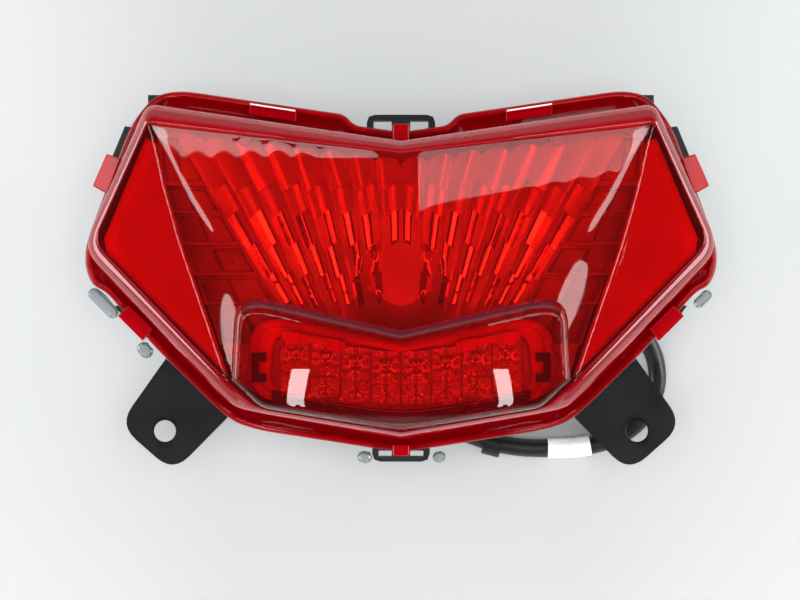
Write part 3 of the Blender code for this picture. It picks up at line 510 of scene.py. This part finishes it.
def triangulate(border, lines, rings, step):
    """Constrained triangles of the area inside border. Lines and rings stay as edges."""
    vertices = in_plan(border)
    edges = []
    for ring in rings:
        start = len(vertices)
        vertices += in_plan(ring)
        edges += [(start + i, start + (i + 1) % len(ring)) for i in range(len(ring))]
    for line in lines:
        start = len(vertices)
        vertices += in_plan(line)
        edges += [(start + i, start + i + 1) for i in range(len(line) - 1)]
    (left, low), (width, depth) = FIELD_CORNER, FIELD_SIZE
    rows, cols = int(depth / (step * TRIANGLE_HEIGHT)), int(width / step)
    grid = np.array([(left + col * step + (step / 2 if row % 2 else 0.0), low + row * step * TRIANGLE_HEIGHT)
                     for row in range(rows) for col in range(cols)])
    deep, _ = outline_distance(grid[:, 0], grid[:, 1], border)
    grid = grid[deep > step * 0.5]
    keep = np.ones(len(grid), bool)
    for p in vertices:
        keep &= np.hypot(grid[:, 0] - p.x, grid[:, 1] - p.y) > step * 0.55
    vertices += [Vector((float(a), float(b))) for a, b in grid[keep]]
    found = geometry.delaunay_2d_cdt(vertices, edges, [list(range(len(border)))], 1, 1e-6)
    return found[0], [f for f in found[2] if len(f) >= 3]


def make_lens(paints):
    foot, rim, face = loop_3d(FOOT), loop_3d(RIM), loop_3d(FACE)
    outline = plan_loop(WINDOW, arc=8, side=14)

    def outer(x, y):
        return window_lift(x, y, outline, face_height(x, y))

    for p, z in zip(face, outer(*columns(face))):
        p.z = float(z)
    walls = [
        moved_out(foot, -0.3, TONGUE_BOTTOM), moved_out(foot, -0.3, FLANGE_TOP - 0.6),
        moved_out(foot, 0.35, FLANGE_TOP + 0.1), moved_out(foot, 0.0, FLANGE_TOP + 0.7),
        blend_loops(foot, rim, 0.5, 0.5), blend_loops(foot, rim, 0.93, 0.93),
    ]
    band = [blend_loops(rim, face, across, height) for across, height in
            ((0.0, 0.0), (0.03, 0.16), (0.09, 0.33), (0.18, 0.50), (0.30, 0.66), (0.44, 0.80), (0.60, 0.92),
             (0.74, 0.99), (0.84, 1.015), (0.90, 0.985), (0.945, 0.92), (0.975, 0.925))]
    vertices, faces = ring_mesh(walls + band)
    slots = [1] * len(faces)
    insets = [moved_out(outline, -distance) for distance in (0.58, 1.5, 2.4)]
    lines = [dense_line([(side * x, y) for x, y in CREASE_A[:-1]], 1.3)[2:] for _, side in SIDES]
    points, triangles = triangulate(face, lines, [outline, *insets], 1.25)
    add_top(vertices, faces, face, points, triangles, outer)
    middles = np.array([[sum(points[i][k] for i in f) / len(f) for k in (0, 1)] for f in triangles])
    deep, facing = outline_distance(middles[:, 0], middles[:, 1], outline)
    slots += [2 if 0 < d < 2.3 and abs(n) > 0.9 and y > -26 else 0
              for d, n, y in zip(deep, facing, middles[:, 1])]
    slots += [1] * (len(faces) - len(slots))
    colours = [paints[name] for name in ("red_lens", "red_band", "red_edge")]
    lens = new_object("lens_outside", vertices, faces, colours, sharp=38.0, slots=slots)
    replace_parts(recalculated(lens), "outer_lens")
    make_lens_inside(paints, foot, rim, face, outline)
    make_flange(paints, foot)


def make_lens_inside(paints, foot, rim, face, outline):
    """The inner surface, a wall's thickness inside the outer one."""
    inner_foot, inner_face = moved_out(foot, -WALL), moved_out(face, -1.4)
    inner_outline = moved_out(outline, -WALL)

    def inner(x, y):
        return window_lift(x, y, inner_outline, face_height(x, y) - WALL) - 0.3

    for p, z in zip(inner_face, inner(*columns(inner_face))):
        p.z = float(z)
    vertices, faces = ring_mesh([
        moved_out(foot, -0.3, TONGUE_BOTTOM), moved_out(inner_foot, 0.3, TONGUE_BOTTOM),
        moved_out(inner_foot, 0, 61.0), blend_loops(inner_foot, moved_out(rim, -WALL), 0.96, 0.86)])
    add_top(vertices, faces, inner_face, *triangulate(inner_face, [], [inner_outline], 3.0), inner)
    inside = new_object("lens_inside", vertices, faces, [paints["red_inside"]], sharp=38.0)
    recalculated(inside)


def make_flange(paints, foot):
    """The ledge round the wall, with its rounded outer lip and the fine bead between lip and ledge."""
    edge = plan_loop(FLANGE, arc=5, side=6)
    rings = [moved_out(edge, distance, FLANGE_BOTTOM + rise) for distance, rise in
             ((-1.2, 0.0), (-0.35, 0.0), (0.0, 0.35))]
    rings += [moved_out(edge, distance, FLANGE_TOP + rise) for distance, rise in
              ((0.0, -0.9), (-0.25, -0.35), (-0.8, 0.0), (-1.6, 0.1), (-2.3, -0.1), (-2.75, -0.5),
               (-2.95, -1.0))]
    vertices, faces = ring_mesh(rings)
    # the ledge from the lip in to the wall, as triangles between two unlike rings
    for inner_z, outer_ring in ((FLANGE_TOP - 1.0, rings[-1]), (FLANGE_BOTTOM, rings[0])):
        inner_ring = moved_out(foot, -0.5, inner_z)
        n, m = len(outer_ring), len(inner_ring)
        edges = [(n + i, n + (i + 1) % m) for i in range(m)]
        found = geometry.delaunay_2d_cdt(in_plan(outer_ring + inner_ring), edges, [list(range(n))], 1, 1e-6)
        middle = np.array([np.mean([tuple(found[0][i]) for i in f], axis=0) for f in found[2]])
        deep, _ = outline_distance(middle[:, 0], middle[:, 1], inner_ring)
        start = len(vertices)
        vertices += [Vector((*p, inner_z)) for p in found[0]]
        faces += [[start + i for i in f] for f, d in zip(found[2], deep) if d < 0]
    obj = new_object("lens_flange", vertices, faces, [paints["red_flange"]], sharp=40.0)
    with edited(obj) as made:
        bmesh.ops.remove_doubles(made, verts=made.verts, dist=0.01 * MM)
    recalculated(obj)


# The main reflector


def crease_x(y):
    """Where crease A runs at y, on the right side."""
    xs, ys = zip(*reversed(CREASE_A))
    return float(np.interp(y, ys, xs))


def flute_reach(y):
    """The half width of the fluted area at y: the flutes fan out towards the top."""
    return 36.0 + 0.6 * (y + 24.0)


def tier_place(v):
    tier = min(len(TIERS) - 1, int(v))
    return tier, min(1.0, v - tier)


def facet_span(flute, tier):
    """Where the flat facet lies across a flute. It steps sideways from tier to tier and flute to flute."""
    start = (0.10, 0.22, 0.36)[(2 * flute + tier) % 3]
    return start, start + 0.40


# How steeply the flat facets fall outwards: in the middle, the change with x, and a scatter between facets
FACET_FALL, FACET_TURN, FACET_SCATTER = 0.0753, 0.001885, 0.011


def flute_relief(phase, span, width, fall):
    """The height across one flute: a steep shoulder, a flat facet, then a shallow valley."""
    shoulder = 1.5 - 0.30 * width * min(phase, span[0])
    facet = fall * width * max(0.0, min(phase, span[1]) - span[0])
    valley = 0.05 * width * max(0.0, phase - span[1])
    return shoulder - facet - valley


def flute_point(u, v):
    """A point of the fluted reflector, with the cover over the bulb rising out of it. u counts flutes
    outwards from the middle, and v counts tiers upwards."""
    tier, t = tier_place(v)
    low_y, high_y, low_z, high_z = TIERS[tier]
    rise = (high_z - low_z) / (high_y - low_y)
    phase = u - math.floor(u)
    slant_high = SLANT * (0.45 - phase)
    slant_low = slant_high if tier else 0.0
    if tier == len(TIERS) - 1:
        high_y += TOP_CLIMB * u / FLUTES
        slant_high = 2.4 * math.sin(math.pi * phase) ** 0.7
    y = low_y + (high_y - low_y) * t + slant_low + (slant_high - slant_low) * t
    z = low_z + (high_z - low_z) * t
    width = flute_reach(y) / FLUTES
    x = u * width
    fall = FACET_FALL - FACET_TURN * x + SLANT * rise / width
    fall += FACET_SCATTER * math.sin(5.3 * math.floor(u) + 2.9 * tier)
    z += flute_relief(phase, facet_span(math.floor(u), tier), width, fall) - 0.0004 * x * x
    cover = BULB_COVER_Z - 1.1 * max(0.0, math.hypot(x, y - BULB_COVER_Y) - BULB_COVER_RADIUS)
    return Vector((x, y, z + float(smooth_step(cover - z, 0.5))))


def block_point(share, v):
    """A point of the stepped frame between the flutes and the wing. share runs outwards from 0 to 1."""
    tier, t = tier_place(v)
    low_y, high_y, low_z, high_z = TIERS[tier]
    y = low_y + (high_y - low_y) * t
    z = low_z + (high_z - low_z) * t - 2.0
    inner, outer = flute_reach(y) - 0.6, crease_x(y) + 0.8
    if tier == len(TIERS) - 1:
        y += (TOP_CLIMB + 2.0) * t
    if 0.12 < share < 0.93 and 0.12 < t < 0.88:
        z -= 6.0 if (share < 0.55) == (tier % 2 == 0) else 2.2
    return Vector((inner + (outer - inner) * share, y, z + 5.0 * share * (1 - t)))


def facet_slot(tier, flute, column):
    """1, the mirror, for the flat facets of the middle tiers clear of the bulb, and 0, chrome, elsewhere."""
    start, end = facet_span(flute, tier)
    on_facet = start - 0.01 <= FLUTE_PHASES[column] < end - 0.05
    clear_of_bulb = flute >= 1 or tier == 3
    return 1 if on_facet and clear_of_bulb and tier in (1, 2, 3) else 0


def grid_faces(rows, cols):
    return [(r * cols + c, r * cols + c + 1, (r + 1) * cols + c + 1, (r + 1) * cols + c)
            for r in range(rows - 1) for c in range(cols - 1)]


# The grid of the reflector: places across a flute, up a tier and across the frame beside the flutes
FLUTE_PHASES = (0.0, 0.1, 0.22, 0.36, 0.5, 0.64, 0.78, 0.93)
TIER_SHARES = (0.0, 0.1, 0.14, 0.35, 0.5, 0.65, 0.86, 0.9, 0.995)
BLOCK_SHARES = (0.0, 0.08, 0.14, 0.3, 0.52, 0.58, 0.74, 0.9, 0.95, 1.0)
SHELF = ((0, 38.0, 65.6), (88.0, 46.0, 65.6), (88.0, 59.0, 66.4), (0, 46.6, 66.4))  # above the top tier


def make_reflector(paints):
    flutes = [k + p for k in range(FLUTES) for p in FLUTE_PHASES]
    levels = [k + t for k in range(len(TIERS)) for t in TIER_SHARES]
    for name, side in SIDES:
        vertices = [flute_point(u, v) for v in levels for u in flutes]
        faces = grid_faces(len(levels), len(flutes))
        slots = []
        for i in range(len(faces)):
            level, across = divmod(i, len(flutes) - 1)
            slots.append(facet_slot(level // len(TIER_SHARES), *divmod(across, len(FLUTE_PHASES))))
        start = len(vertices)
        vertices += [block_point(share, v) for v in levels for share in BLOCK_SHARES]
        faces += [tuple(start + i for i in f) for f in grid_faces(len(levels), len(BLOCK_SHARES))]
        start = len(vertices)
        vertices += [Vector(p) for p in SHELF]
        faces.append(tuple(start + i for i in range(len(SHELF))))
        slots += [2] * (len(faces) - len(slots))
        for v in vertices:
            v.x *= side
        colours = [paints[finish] for finish in ("chrome_reflector", "mirror_facets", "frame_satin")]
        obj = new_object("fluted_reflector_" + name, vertices, faces, colours,
                         sharp=24.0, slots=slots)
        with edited(obj) as made:
            bmesh.ops.recalc_face_normals(made, faces=made.faces)
            for f in made.faces:
                if f.normal.z < 0:
                    f.normal_flip()
        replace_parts(obj, "main_reflector")


# Tabs, brackets and the inside of the window


def prism_mesh(name, outline, low, high, paint, width=0.5):
    """A bevelled prism over an outline in plan. high may be a function of (x, y)."""
    level = high if callable(high) else lambda x, y: high
    count = len(outline)
    vertices = [(x, y, low) for x, y in outline] + [(x, y, level(x, y)) for x, y in outline]
    faces = [list(range(count))[::-1], [count + i for i in range(count)], *between(count, 0, count)]
    obj = recalculated(new_object(name, vertices, faces, [paint], sharp=50.0))
    return bevelled(obj, width, 3, 25.0)


def make_tabs(paints):
    """The lens's snap tabs: side tabs, top tabs with a pale strip along their top edge that paints the
    highlight there, and the two in the middle.
    """

    def tab(name, outline, low, high, width=0.5, paint="red_tab"):
        prism_mesh(name, outline, low, high, paints[paint], width)

    for name, side in SIDES:
        for i, corners in enumerate(SIDE_TABS):
            tab(f"snap_tab_{name}_{i + 1}", [(side * x, y) for x, y in corners], 57.6, 61.6 - i * 0.3, 0.45)
        low, high = sorted(side * x for x in TOP_TAB_X)
        outline = [(x, top_edge(x) - inset) for x, inset in
                   ((low, 5.4), (low, 1.1), (high, 1.1), (high, 5.4))]
        tab("top_tab_" + name, outline, 59.6, lambda x, y: 62.9 - 0.28 * (top_edge(x) - 1.1 - y))
        # a thin pale strip along the tab's top edge: a painted highlight, not a part of the lens
        edge = [(x + inwards, top_edge(x) - inset) for x, inwards, inset in
                ((low, 0.3, 1.9), (low, 0.3, 1.3), (high, -0.3, 1.3), (high, -0.3, 1.9))]
        tab("top_tab_painted_highlight_" + name, edge, 62.2, 63.2, 0.15, "pale_edge")
    tab("middle_tab_top", [(-3, 50.5), (-3, 56.6), (3, 56.6), (3, 50.5)], 57.8, 61.8)
    tab("middle_tab_low", [(-3, -64.1), (-3, -60), (3, -60), (3, -64.1)], 57.8, 61.0)


def top_edge(x):
    """The y of the flange's long top edge at x."""
    (x0, y0, _), (x1, y1, _) = FLANGE[2:4]
    return y0 + (y1 - y0) * (abs(x) - x0) / (x1 - x0)


def rounded_corners(outline, radii, steps=6):
    points = []
    for i, (here, radius) in enumerate(zip(outline, radii)):
        before, after = Vector(outline[i - 1]), Vector(outline[(i + 1) % len(outline)])
        points += corner_arc(before, Vector(here), after, radius, steps)
    return points


def make_brackets(paints):
    """Pressed plates: a low step across, a stamped rim round the hole and both long sides turned back."""
    for name, side in SIDES:
        corners = [(side * x, y) for x, y in BRACKET]
        outline = rounded_corners(corners, (0.6, 8.5, 8.5, 0.6))
        if side < 0:
            outline = outline[::-1]
        hole = Vector((side * BRACKET_HOLE[0], BRACKET_HOLE[1]))
        ring = [hole + Vector((math.cos(a), math.sin(a))) * BRACKET_HOLE_RADIUS
                for a in (2 * math.pi * k / 40 for k in range(40))]
        rim = [hole + (p - hole) * 1.22 for p in ring]
        inner = (Vector(corners[0]) + Vector(corners[3])) / 2
        outer = (Vector(corners[1]) + Vector(corners[2])) / 2
        along = (outer - inner).normalized()

        def top(p):
            run = (p - inner).dot(along)
            across = abs((p - inner).dot(Vector((-along.y, along.x))))
            z = 45.75 - 0.75 * min(1.0, max(0.0, (run - 10.6) / 1.6))
            z -= 0.55 * max(0.0, min(1.0, (across - 14.6) / 2.2)) ** 2
            near = (p - hole).length
            return z - 0.45 * max(0.0, 1.0 - max(0.0, near - BRACKET_HOLE_RADIUS) / 1.1) ** 2

        points, triangles = triangulate(outline, [], [ring, rim], 1.1)
        keep = [f for f in triangles
                if (sum((points[i] for i in f), Vector((0, 0))) / len(f) - hole).length > BRACKET_HOLE_RADIUS]
        vertices = [Vector((p.x, p.y, top(p))) for p in points]
        plate = new_object("plate_" + name, vertices, keep, [paints["bracket_black"]],
                           sharp=30.0)
        with edited(plate) as made:
            bmesh.ops.delete(made, geom=[v for v in made.verts if not v.link_faces], context="VERTS")
            bmesh.ops.recalc_face_normals(made, faces=made.faces)
            if sum(f.normal.z for f in made.faces) < 0:
                bmesh.ops.reverse_faces(made, faces=made.faces)
        thickened(plate, 1.5)
        bevelled(plate, 0.35, 2, 50.0)
        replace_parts(plate, "bracket_" + name)
        for i, (start, end) in enumerate(((corners[0], corners[1]), (corners[3], corners[2]))):
            make_lip(f"plate_lip_{name}_{i + 1}", Vector(start), Vector(end), (inner + outer) / 2,
                     paints["bracket_black"])


def make_lip(name, start, end, middle, paint):
    run = (end - start).normalized()
    inwards = Vector((-run.y, run.x))
    if inwards.dot(middle - start) < 0:
        inwards = -inwards
    a, b = start + run * 19 + inwards * 0.1, end - run * 9 + inwards * 0.1
    outline = [a, b, b - run * 1.0 + inwards * 1.7, a + run * 1.0 + inwards * 1.7]
    return prism_mesh(name, [tuple(p) for p in outline], 40.0, 44.4, paint, 0.5)


def make_bezel(paints):
    """The stepped frame round the LED cells, with its sloped inner walls and the ledge above the cells."""
    outside, inside = plan_loop(BEZEL), plan_loop(BEZEL_OPENING)
    outer_steps = ((0, 70.0), (0, 77.2), (-0.3, 78.0), (-1.0, 78.4), (-2.4, 78.4), (-3.0, 78.0), (-3.3, 76.2))
    inner_steps = ((0.9, 75.6), (0.4, 75.2), (0.0, 74.0), (0.0, 69.8))
    rings = [moved_out(outside, distance, z) for distance, z in outer_steps]
    rings.append([Vector((*p.lerp(q, 0.62).xy, 75.8)) for p, q in zip(outside, inside)])
    rings += [moved_out(inside, distance, z) for distance, z in inner_steps]
    vertices, faces = ring_mesh(rings)
    bezel = new_object("bezel_frame", vertices, faces, [paints["red_satin"]], sharp=35.0)
    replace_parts(recalculated(bezel), "inner_bezel")
    for name, side in SIDES:
        ledge = [(side * 42.5, -20.9), (side * 42.5, -18.2), (side * 19.5, -22.2), (side * 19.5, -24.9)]
        prism_mesh("bezel_ledge_" + name, ledge, 76.0, 79.6, paints["red_satin"], 0.5)
        for i, x in enumerate((24.0, 38.5)):
            y = -20.9 + (42.5 - x) * -0.174
            catch = [(side * (x + 2.6), y - 1.0), (side * (x + 2.6), y + 3.4), (side * (x - 2.6), y + 2.6),
                     (side * (x - 2.6), y - 1.8)]
            prism_mesh(f"bezel_catch_{name}_{i + 1}", catch, 76.4, 80.8, paints["red_satin"],
                       0.4)


RIB_HALF = 0.45


def cell_depth(x, y):
    """How deep the LED cells are, 0 on a rib and 1 at the bottom, and the height of their facets."""
    i = np.clip(np.floor(x / LED_PITCH + LED_COUNT / 2), 0, LED_COUNT - 1)
    centre = (i - (LED_COUNT - 1) / 2) * LED_PITCH
    top = -26.4 + 0.13 * np.abs(centre)
    u = (x - centre) / (LED_PITCH / 2 - RIB_HALF)
    upper = (y < top) & (y > top - 11.4)
    lower = (y < top - 12.2) & (y > top - 18.6)
    v = np.where(upper, (top - 5.7 - y) / 5.7, (top - 15.4 - y) / 3.2)
    bowl = np.clip(1 - np.abs(u) ** 3.2, 0, 1) * np.clip(1 - np.abs(v) ** 3.2, 0, 1)
    facets = 0.22 * np.cos((x - centre) * 2.4) * np.cos(v * 5.0) * bowl
    return np.where((upper | lower) & (np.abs(u) < 1), bowl ** 0.7, 0.0), facets


def make_cells(paints):
    """The tray of LED cells, with its ribs kept as edges of the triangles."""
    border = moved_out(plan_loop(BEZEL_OPENING), -0.1)
    lines = []
    for i in range(LED_COUNT + 1):
        x = LED_PITCH * (i - LED_COUNT / 2)
        y = -26.0 + 0.13 * abs(x)
        for rib_side in (-RIB_HALF, RIB_HALF):
            line = dense_line([(x + rib_side, y), (x + rib_side, y - 19.0)], 0.9)
            deep, _ = outline_distance(*columns(line), border)
            line = [p for p, d in zip(line, deep) if d > 0.4]
            if len(line) > 2:
                lines.append(line)
    points, triangles = triangulate(border, lines, [], 0.9)
    x, y = columns(points)
    depth, facets = cell_depth(x, y)
    vertices = [Vector(p) for p in zip(x, y, 76.6 - 6.6 * depth + facets)]
    cells = new_object("led_cells", vertices, triangles, [paints["cell_reflector"]],
                       sharp=30.0)
    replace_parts(recalculated(cells), "led_reflector_tray")


def make_aprons(paints):
    """The bright plates that close the reflector beside the window."""
    for name, side in SIDES:
        outline = [(side * x, y) for x, y in ((49.5, -23.0), (65.0, -23.0), (61.0, -36.0), (52.0, -42.0))]
        prism_mesh(f"side_apron_{name}", outline, 58.0, 60.0, paints["frame_satin"], 0.5)


def make_dark_strip(paints):
    """The dark band inside the foot of the window and its two rows of moulded dots."""
    upper = [(-46, -39.2), (-30, -42.7), (0, -46.4), (30, -42.7), (46, -39.2)]
    lower = [(-44, -44.6), (-30, -48.0), (0, -52.3), (30, -48.0), (44, -44.6)]
    top_line = smooth_plan(upper, 2.0)
    low_line = smooth_plan(lower, 2.0, len(top_line))
    vertices, faces = [], []
    for p, q in zip(top_line, low_line):
        vertices += [Vector((p.x, p.y, 80.5)), Vector((p.x, (p.y + q.y) / 2, 80.9)), Vector((q.x, q.y, 80.2))]
    for i in range(len(top_line) - 1):
        for k in range(2):
            faces.append((3 * i + k, 3 * i + 3 + k, 3 * i + 4 + k, 3 * i + 1 + k))
    strip = new_object("window_foot", vertices, faces, [paints["dark_strip"]])
    if strip.data.polygons[0].normal.z < 0:
        strip.data.flip_normals()
    thickened(strip, 0.8)
    made = bmesh.new()
    for line, inset_y in ((top_line, -0.6), (low_line, 0.9)):
        for p in line[2:-2]:
            for step_x in (0.0, 1.0):
                place = Matrix.Translation((p.x + step_x, p.y + inset_y, 80.75))
                bmesh.ops.create_icosphere(made, subdivisions=1, radius=0.34,
                                           matrix=place @ Matrix.Diagonal((1.0, 0.8, 0.8, 1)))
    bmesh.ops.scale(made, vec=(MM, MM, MM), verts=made.verts)
    mesh = bpy.data.meshes.new("moulded_dots")
    made.to_mesh(mesh)
    made.free()
    mesh.materials.append(paints["red_dots"])
    placed(bpy.data.objects.new("moulded_dots", mesh), LAMP, 60.0)


def smooth_plan(points, step, count=None):
    """Even points along a curve through plan points."""
    line, length = smooth_route([(x, y, 0) for x, y in points], step)
    if count and count != len(line):
        line, length = smooth_route([(x, y, 0) for x, y in points], length / (count - 1))
    return [Vector((p.x, p.y)) for p in line]


WING_DROP = 6.0  # how far the wing panels lie below the lens


def make_wings(paints):
    """The satin panels under the wings of the lens."""
    right = ((91.0, 50.2), (106.6, 14.6), (105.6, 9.4), (61.6, -34.6), (76.6, 8.0), (83.0, 29.0),
             (87.6, 48.5))
    for name, side in SIDES:
        points = [(side * x, y) for x, y in right[::side]]
        points, triangles = triangulate(dense_line([*points, points[0]], 4.0)[:-1], [], [], 4.0)
        x, y = columns(points)
        vertices = [Vector(p) for p in zip(x, y, face_height(x, y) - WING_DROP)]
        wing = new_object("wing_satin_" + name, vertices, triangles, [paints["red_satin"]])
        thickened(recalculated(wing), 1.4)
        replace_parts(wing, "wing_panel_" + name)


# Cord


def smooth_route(points, step):
    """Evenly spaced points along the Catmull-Rom curve through the given ones."""
    ends = [Vector(points[0]) * 2 - Vector(points[1]), *map(Vector, points)]
    ends.append(Vector(points[-1]) * 2 - Vector(points[-2]))
    fine = []
    for a, b, c, d in zip(ends, ends[1:], ends[2:], ends[3:]):
        for k in range(24):
            t = k / 24
            fine.append(0.5 * (2 * b + (c - a) * t + (2 * a - 5 * b + 4 * c - d) * t * t
                               + (3 * b - a - 3 * c + d) * t ** 3))
    fine.append(Vector(points[-1]))
    lengths = [0.0]
    for a, b in zip(fine, fine[1:]):
        lengths.append(lengths[-1] + (b - a).length)
    count = round(lengths[-1] / step)
    even, k = [], 0
    for i in range(count + 1):
        target = lengths[-1] * i / count
        while k < len(fine) - 2 and lengths[k + 1] < target:
            k += 1
        share = (target - lengths[k]) / (lengths[k + 1] - lengths[k])
        even.append(fine[k].lerp(fine[k + 1], share))
    return even, lengths[-1]


def tube(points, radius_at, name, paint, sides=28):
    """A round tube with closed ends. radius_at gives the radius at (place along, turn)."""
    rings = []
    up = Vector((0, 0, 1))
    travelled = 0.0
    last = len(points) - 1
    turns = [2 * math.pi * s / sides for s in range(sides)]
    for i, point in enumerate(points):
        if i:
            travelled += (point - points[i - 1]).length
        heading = (points[min(i + 1, last)] - points[max(i - 1, 0)]).normalized()
        across = heading.cross(up).normalized()
        over = across.cross(heading)
        ring = []
        for a in turns:
            r = radius_at(travelled, a)
            ring.append(point + across * math.cos(a) * r + over * math.sin(a) * r)
        rings.append(ring)
    vertices, faces = ring_mesh(rings)
    faces += [list(range(sides))[::-1], [last * sides + s for s in range(sides)]]
    return recalculated(new_object(name, vertices, faces, [paint], sharp=50.0))


def make_harness(paints):
    route, length = smooth_route(CORD_ROUTE, 1.5)

    def creased(s, a):
        return CORD_RADIUS - 0.16 + 0.16 * noise.noise(Vector((s * 0.11, math.cos(a), math.sin(a))))

    cord = tube(route, creased, "harness_cord", paints["vinyl_sleeve"])
    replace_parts(cord, "harness_cable_upper", "harness_cable_lower")
    first, last = round(TAPE_FROM * (len(route) - 1)), round(TAPE_TO * (len(route) - 1))

    def wrapped(s, a):
        turn = (s / 3.4 + a / (2 * math.pi)) % 1.0
        wrinkle = noise.noise(Vector((s * 0.4, math.cos(a) * 2, math.sin(a) * 2)))
        return 3.86 + 0.14 * (1 - turn) + 0.05 * wrinkle

    tape_points, _ = smooth_route([tuple(p) for p in route[first:last + 1]], 0.4)
    tape = tube(tape_points, wrapped, "tape_wrap", paints["white_tape"], sides=48)
    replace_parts(tape, "harness_tape")


# Stage


def make_camera():
    data = bpy.data.cameras.new("camera")
    data.sensor_width = SENSOR
    data.lens = FOCAL_PX / 800.0 * SENSOR
    data.clip_start = 0.01
    camera = bpy.data.objects.new("camera", data)
    camera.location = (CAMERA_X * MM, CAMERA_Y * MM, CAMERA_Z * MM)
    bpy.context.scene.collection.objects.link(camera)
    bpy.context.scene.camera = camera


def area_light(name, place, target, size, power, turn):
    """An oval one if its name starts with spot. One whose name starts with fill doesn't show in gloss."""
    data = bpy.data.lights.new(name, "AREA")
    data.shape = "ELLIPSE" if name.startswith("spot") else "RECTANGLE"
    data.size, data.size_y = size
    data.energy = power
    light = bpy.data.objects.new(name, data)
    light.location = place
    aimed = (Vector(target) - Vector(place)).to_track_quat("-Z", "Y").to_matrix()
    light.rotation_euler = (Matrix.Rotation(math.radians(turn), 3, "Z") @ aimed).to_euler()
    light.visible_camera = False
    light.visible_glossy = not name.startswith("fill")
    bpy.context.scene.collection.objects.link(light)


def make_stage():
    """A dark studio with a bright horizon, so that only the panels show in the flat faces."""
    bpy.context.scene.view_settings.view_transform = "Standard"
    world = bpy.data.worlds.new("studio")
    bpy.context.scene.world = world
    world.use_nodes = True
    nodes, links = world.node_tree.nodes, world.node_tree.links
    direction = nodes.new("ShaderNodeTexCoord")
    split = nodes.new("ShaderNodeSeparateXYZ")
    links.new(direction.outputs["Generated"], split.inputs["Vector"])
    height = nodes.new("ShaderNodeMapRange")
    height.interpolation_type = "SMOOTHSTEP"
    for key, value in (("From Min", 0.30), ("From Max", 0.72), ("To Min", HORIZON), ("To Max", ZENITH)):
        height.inputs[key].default_value = value
    links.new(split.outputs["Z"], height.inputs["Value"])
    background = nodes["Background"]
    background.inputs["Color"].default_value = (0.90, 0.96, 1.0, 1)
    links.new(height.outputs["Result"], background.inputs["Strength"])
    mesh = bpy.data.meshes.new("floor")
    mesh.from_pydata([(-3, -3, 0), (3, -3, 0), (3, 3, 0), (-3, 3, 0)], [], [(0, 1, 2, 3)])
    paint = Paint("floor_sweep")
    colour = paint.colours(paint.noise(2.2, 2.0), (0.385, 0.395, 0.40), (0.41, 0.412, 0.415))
    paint.link(colour, paint.shader.inputs["Base Color"])
    paint.shader.inputs["Roughness"].default_value = 0.6
    paint.shader.inputs["Specular IOR Level"].default_value = 0.2
    mesh.materials.append(paint.material)
    floor = bpy.data.objects.new("floor", mesh)
    bpy.context.scene.collection.objects.link(floor)
    for name, place, aim, size, power, turn in LIGHTS:
        area_light(name, place, aim or (*place[:2], 0.0), size, power, turn)


HORIZON, ZENITH = 0.5, 0.05
# name, place, aim (None: straight down), size across and along, power, turn in degrees. The fills light
# without showing in gloss. The others are there for the reflection that each one leaves on the lens.
LIGHTS = (
    ("left_bank", (-0.95, 0.0, 0.42), (0, 0, 0.05), (1.1, 0.62), 9.0, 0),
    ("right_bank", (0.95, 0.0, 0.42), (0, 0, 0.05), (1.1, 0.62), 9.0, 0),
    ("overhead_left", (-0.247, 0.11, 1.05), None, (0.246, 0.10), 0.224, 0),
    ("overhead_right", (0.240, 0.139, 1.05), None, (0.29, 0.20), 0.374, 8.6),
    ("crease_left", (-0.53, -0.01, 1.05), None, (0.07, 0.46), 0.42, 0),
    ("crease_right", (0.53, -0.01, 1.05), None, (0.07, 0.46), 0.42, 0),
    ("spot_corner_left", (-0.333, 0.046, 1.055), None, (0.020, 0.13), 0.032, 46.6),
    ("spot_corner_right", (0.333, 0.046, 1.055), None, (0.024, 0.13), 0.038, -46.6),
    ("spot_left", (-0.267, -0.080, 1.05), None, (0.015, 0.07), 0.013, 6),
    ("spot_right", (0.266, -0.051, 1.05), None, (0.018, 0.072), 0.016, -20),
    ("spot_wing", (0.740, -0.135, 1.05), None, (0.022, 0.07), 0.010, -20),
    ("strip_left", (-0.160, -0.318, 1.085), None, (0.027, 0.445), 0.38, -2.6),
    ("strip_right", (0.160, -0.318, 1.085), None, (0.023, 0.445), 0.32, 2.6),
    ("fill_top", (0.0, 0.0, 1.7), (0, 0, 0), (1.0, 0.6), 17.0, 0),
    ("fill_front", (0.0, -1.2, 0.75), (0, 0, 0), (1.4, 0.5), 22.0, 0),
    ("fill_back", (0.0, 1.2, 0.75), (0, 0, 0), (1.4, 0.5), 18.0, 0),
)


# The CAD nodes that stay, by finish: how their names start
FINISHES = {
    "housing_black": "rear_housing",
    "black_nylon": ("bezel_clip_", "bulb_holder", "cable_tie", "connector_shell"),
    "circuit_board": "led_circuit_board",
    "zinc_screw": ("board_screw_", "bracket_screw_"),
    "frame_satin": "reflector_screw_",
    "vinyl_sleeve": "led_lead",
    "bulb_metal": "bulb_base",
    "clear_glass": "bulb_glass",
    "black_rubber": ("holder_gasket", "cable_grommet", "breather_cap"),
    "sealant": "sealant_",
    "brass_pin": "connector_pin_",
    "led_body": tuple(f"led_{i + 1}" for i in range(LED_COUNT)),
}


def finish_nodes(paints):
    for paint, starts in FINISHES.items():
        for name in NODES:
            if name.startswith(starts):
                materials = NODES[name].data.materials
                materials.clear()
                materials.append(paints[paint])
    for name in ("rear_housing", "connector_shell"):
        bevelled(NODES[name], 0.5, 2)


def main():
    paints = make_materials()
    make_camera()
    for make in (make_harness, make_lens, make_reflector, make_tabs, make_brackets, make_bezel, make_cells,
                 make_dark_strip, make_aprons, make_wings, finish_nodes):
        make(paints)
    make_stage()


main()
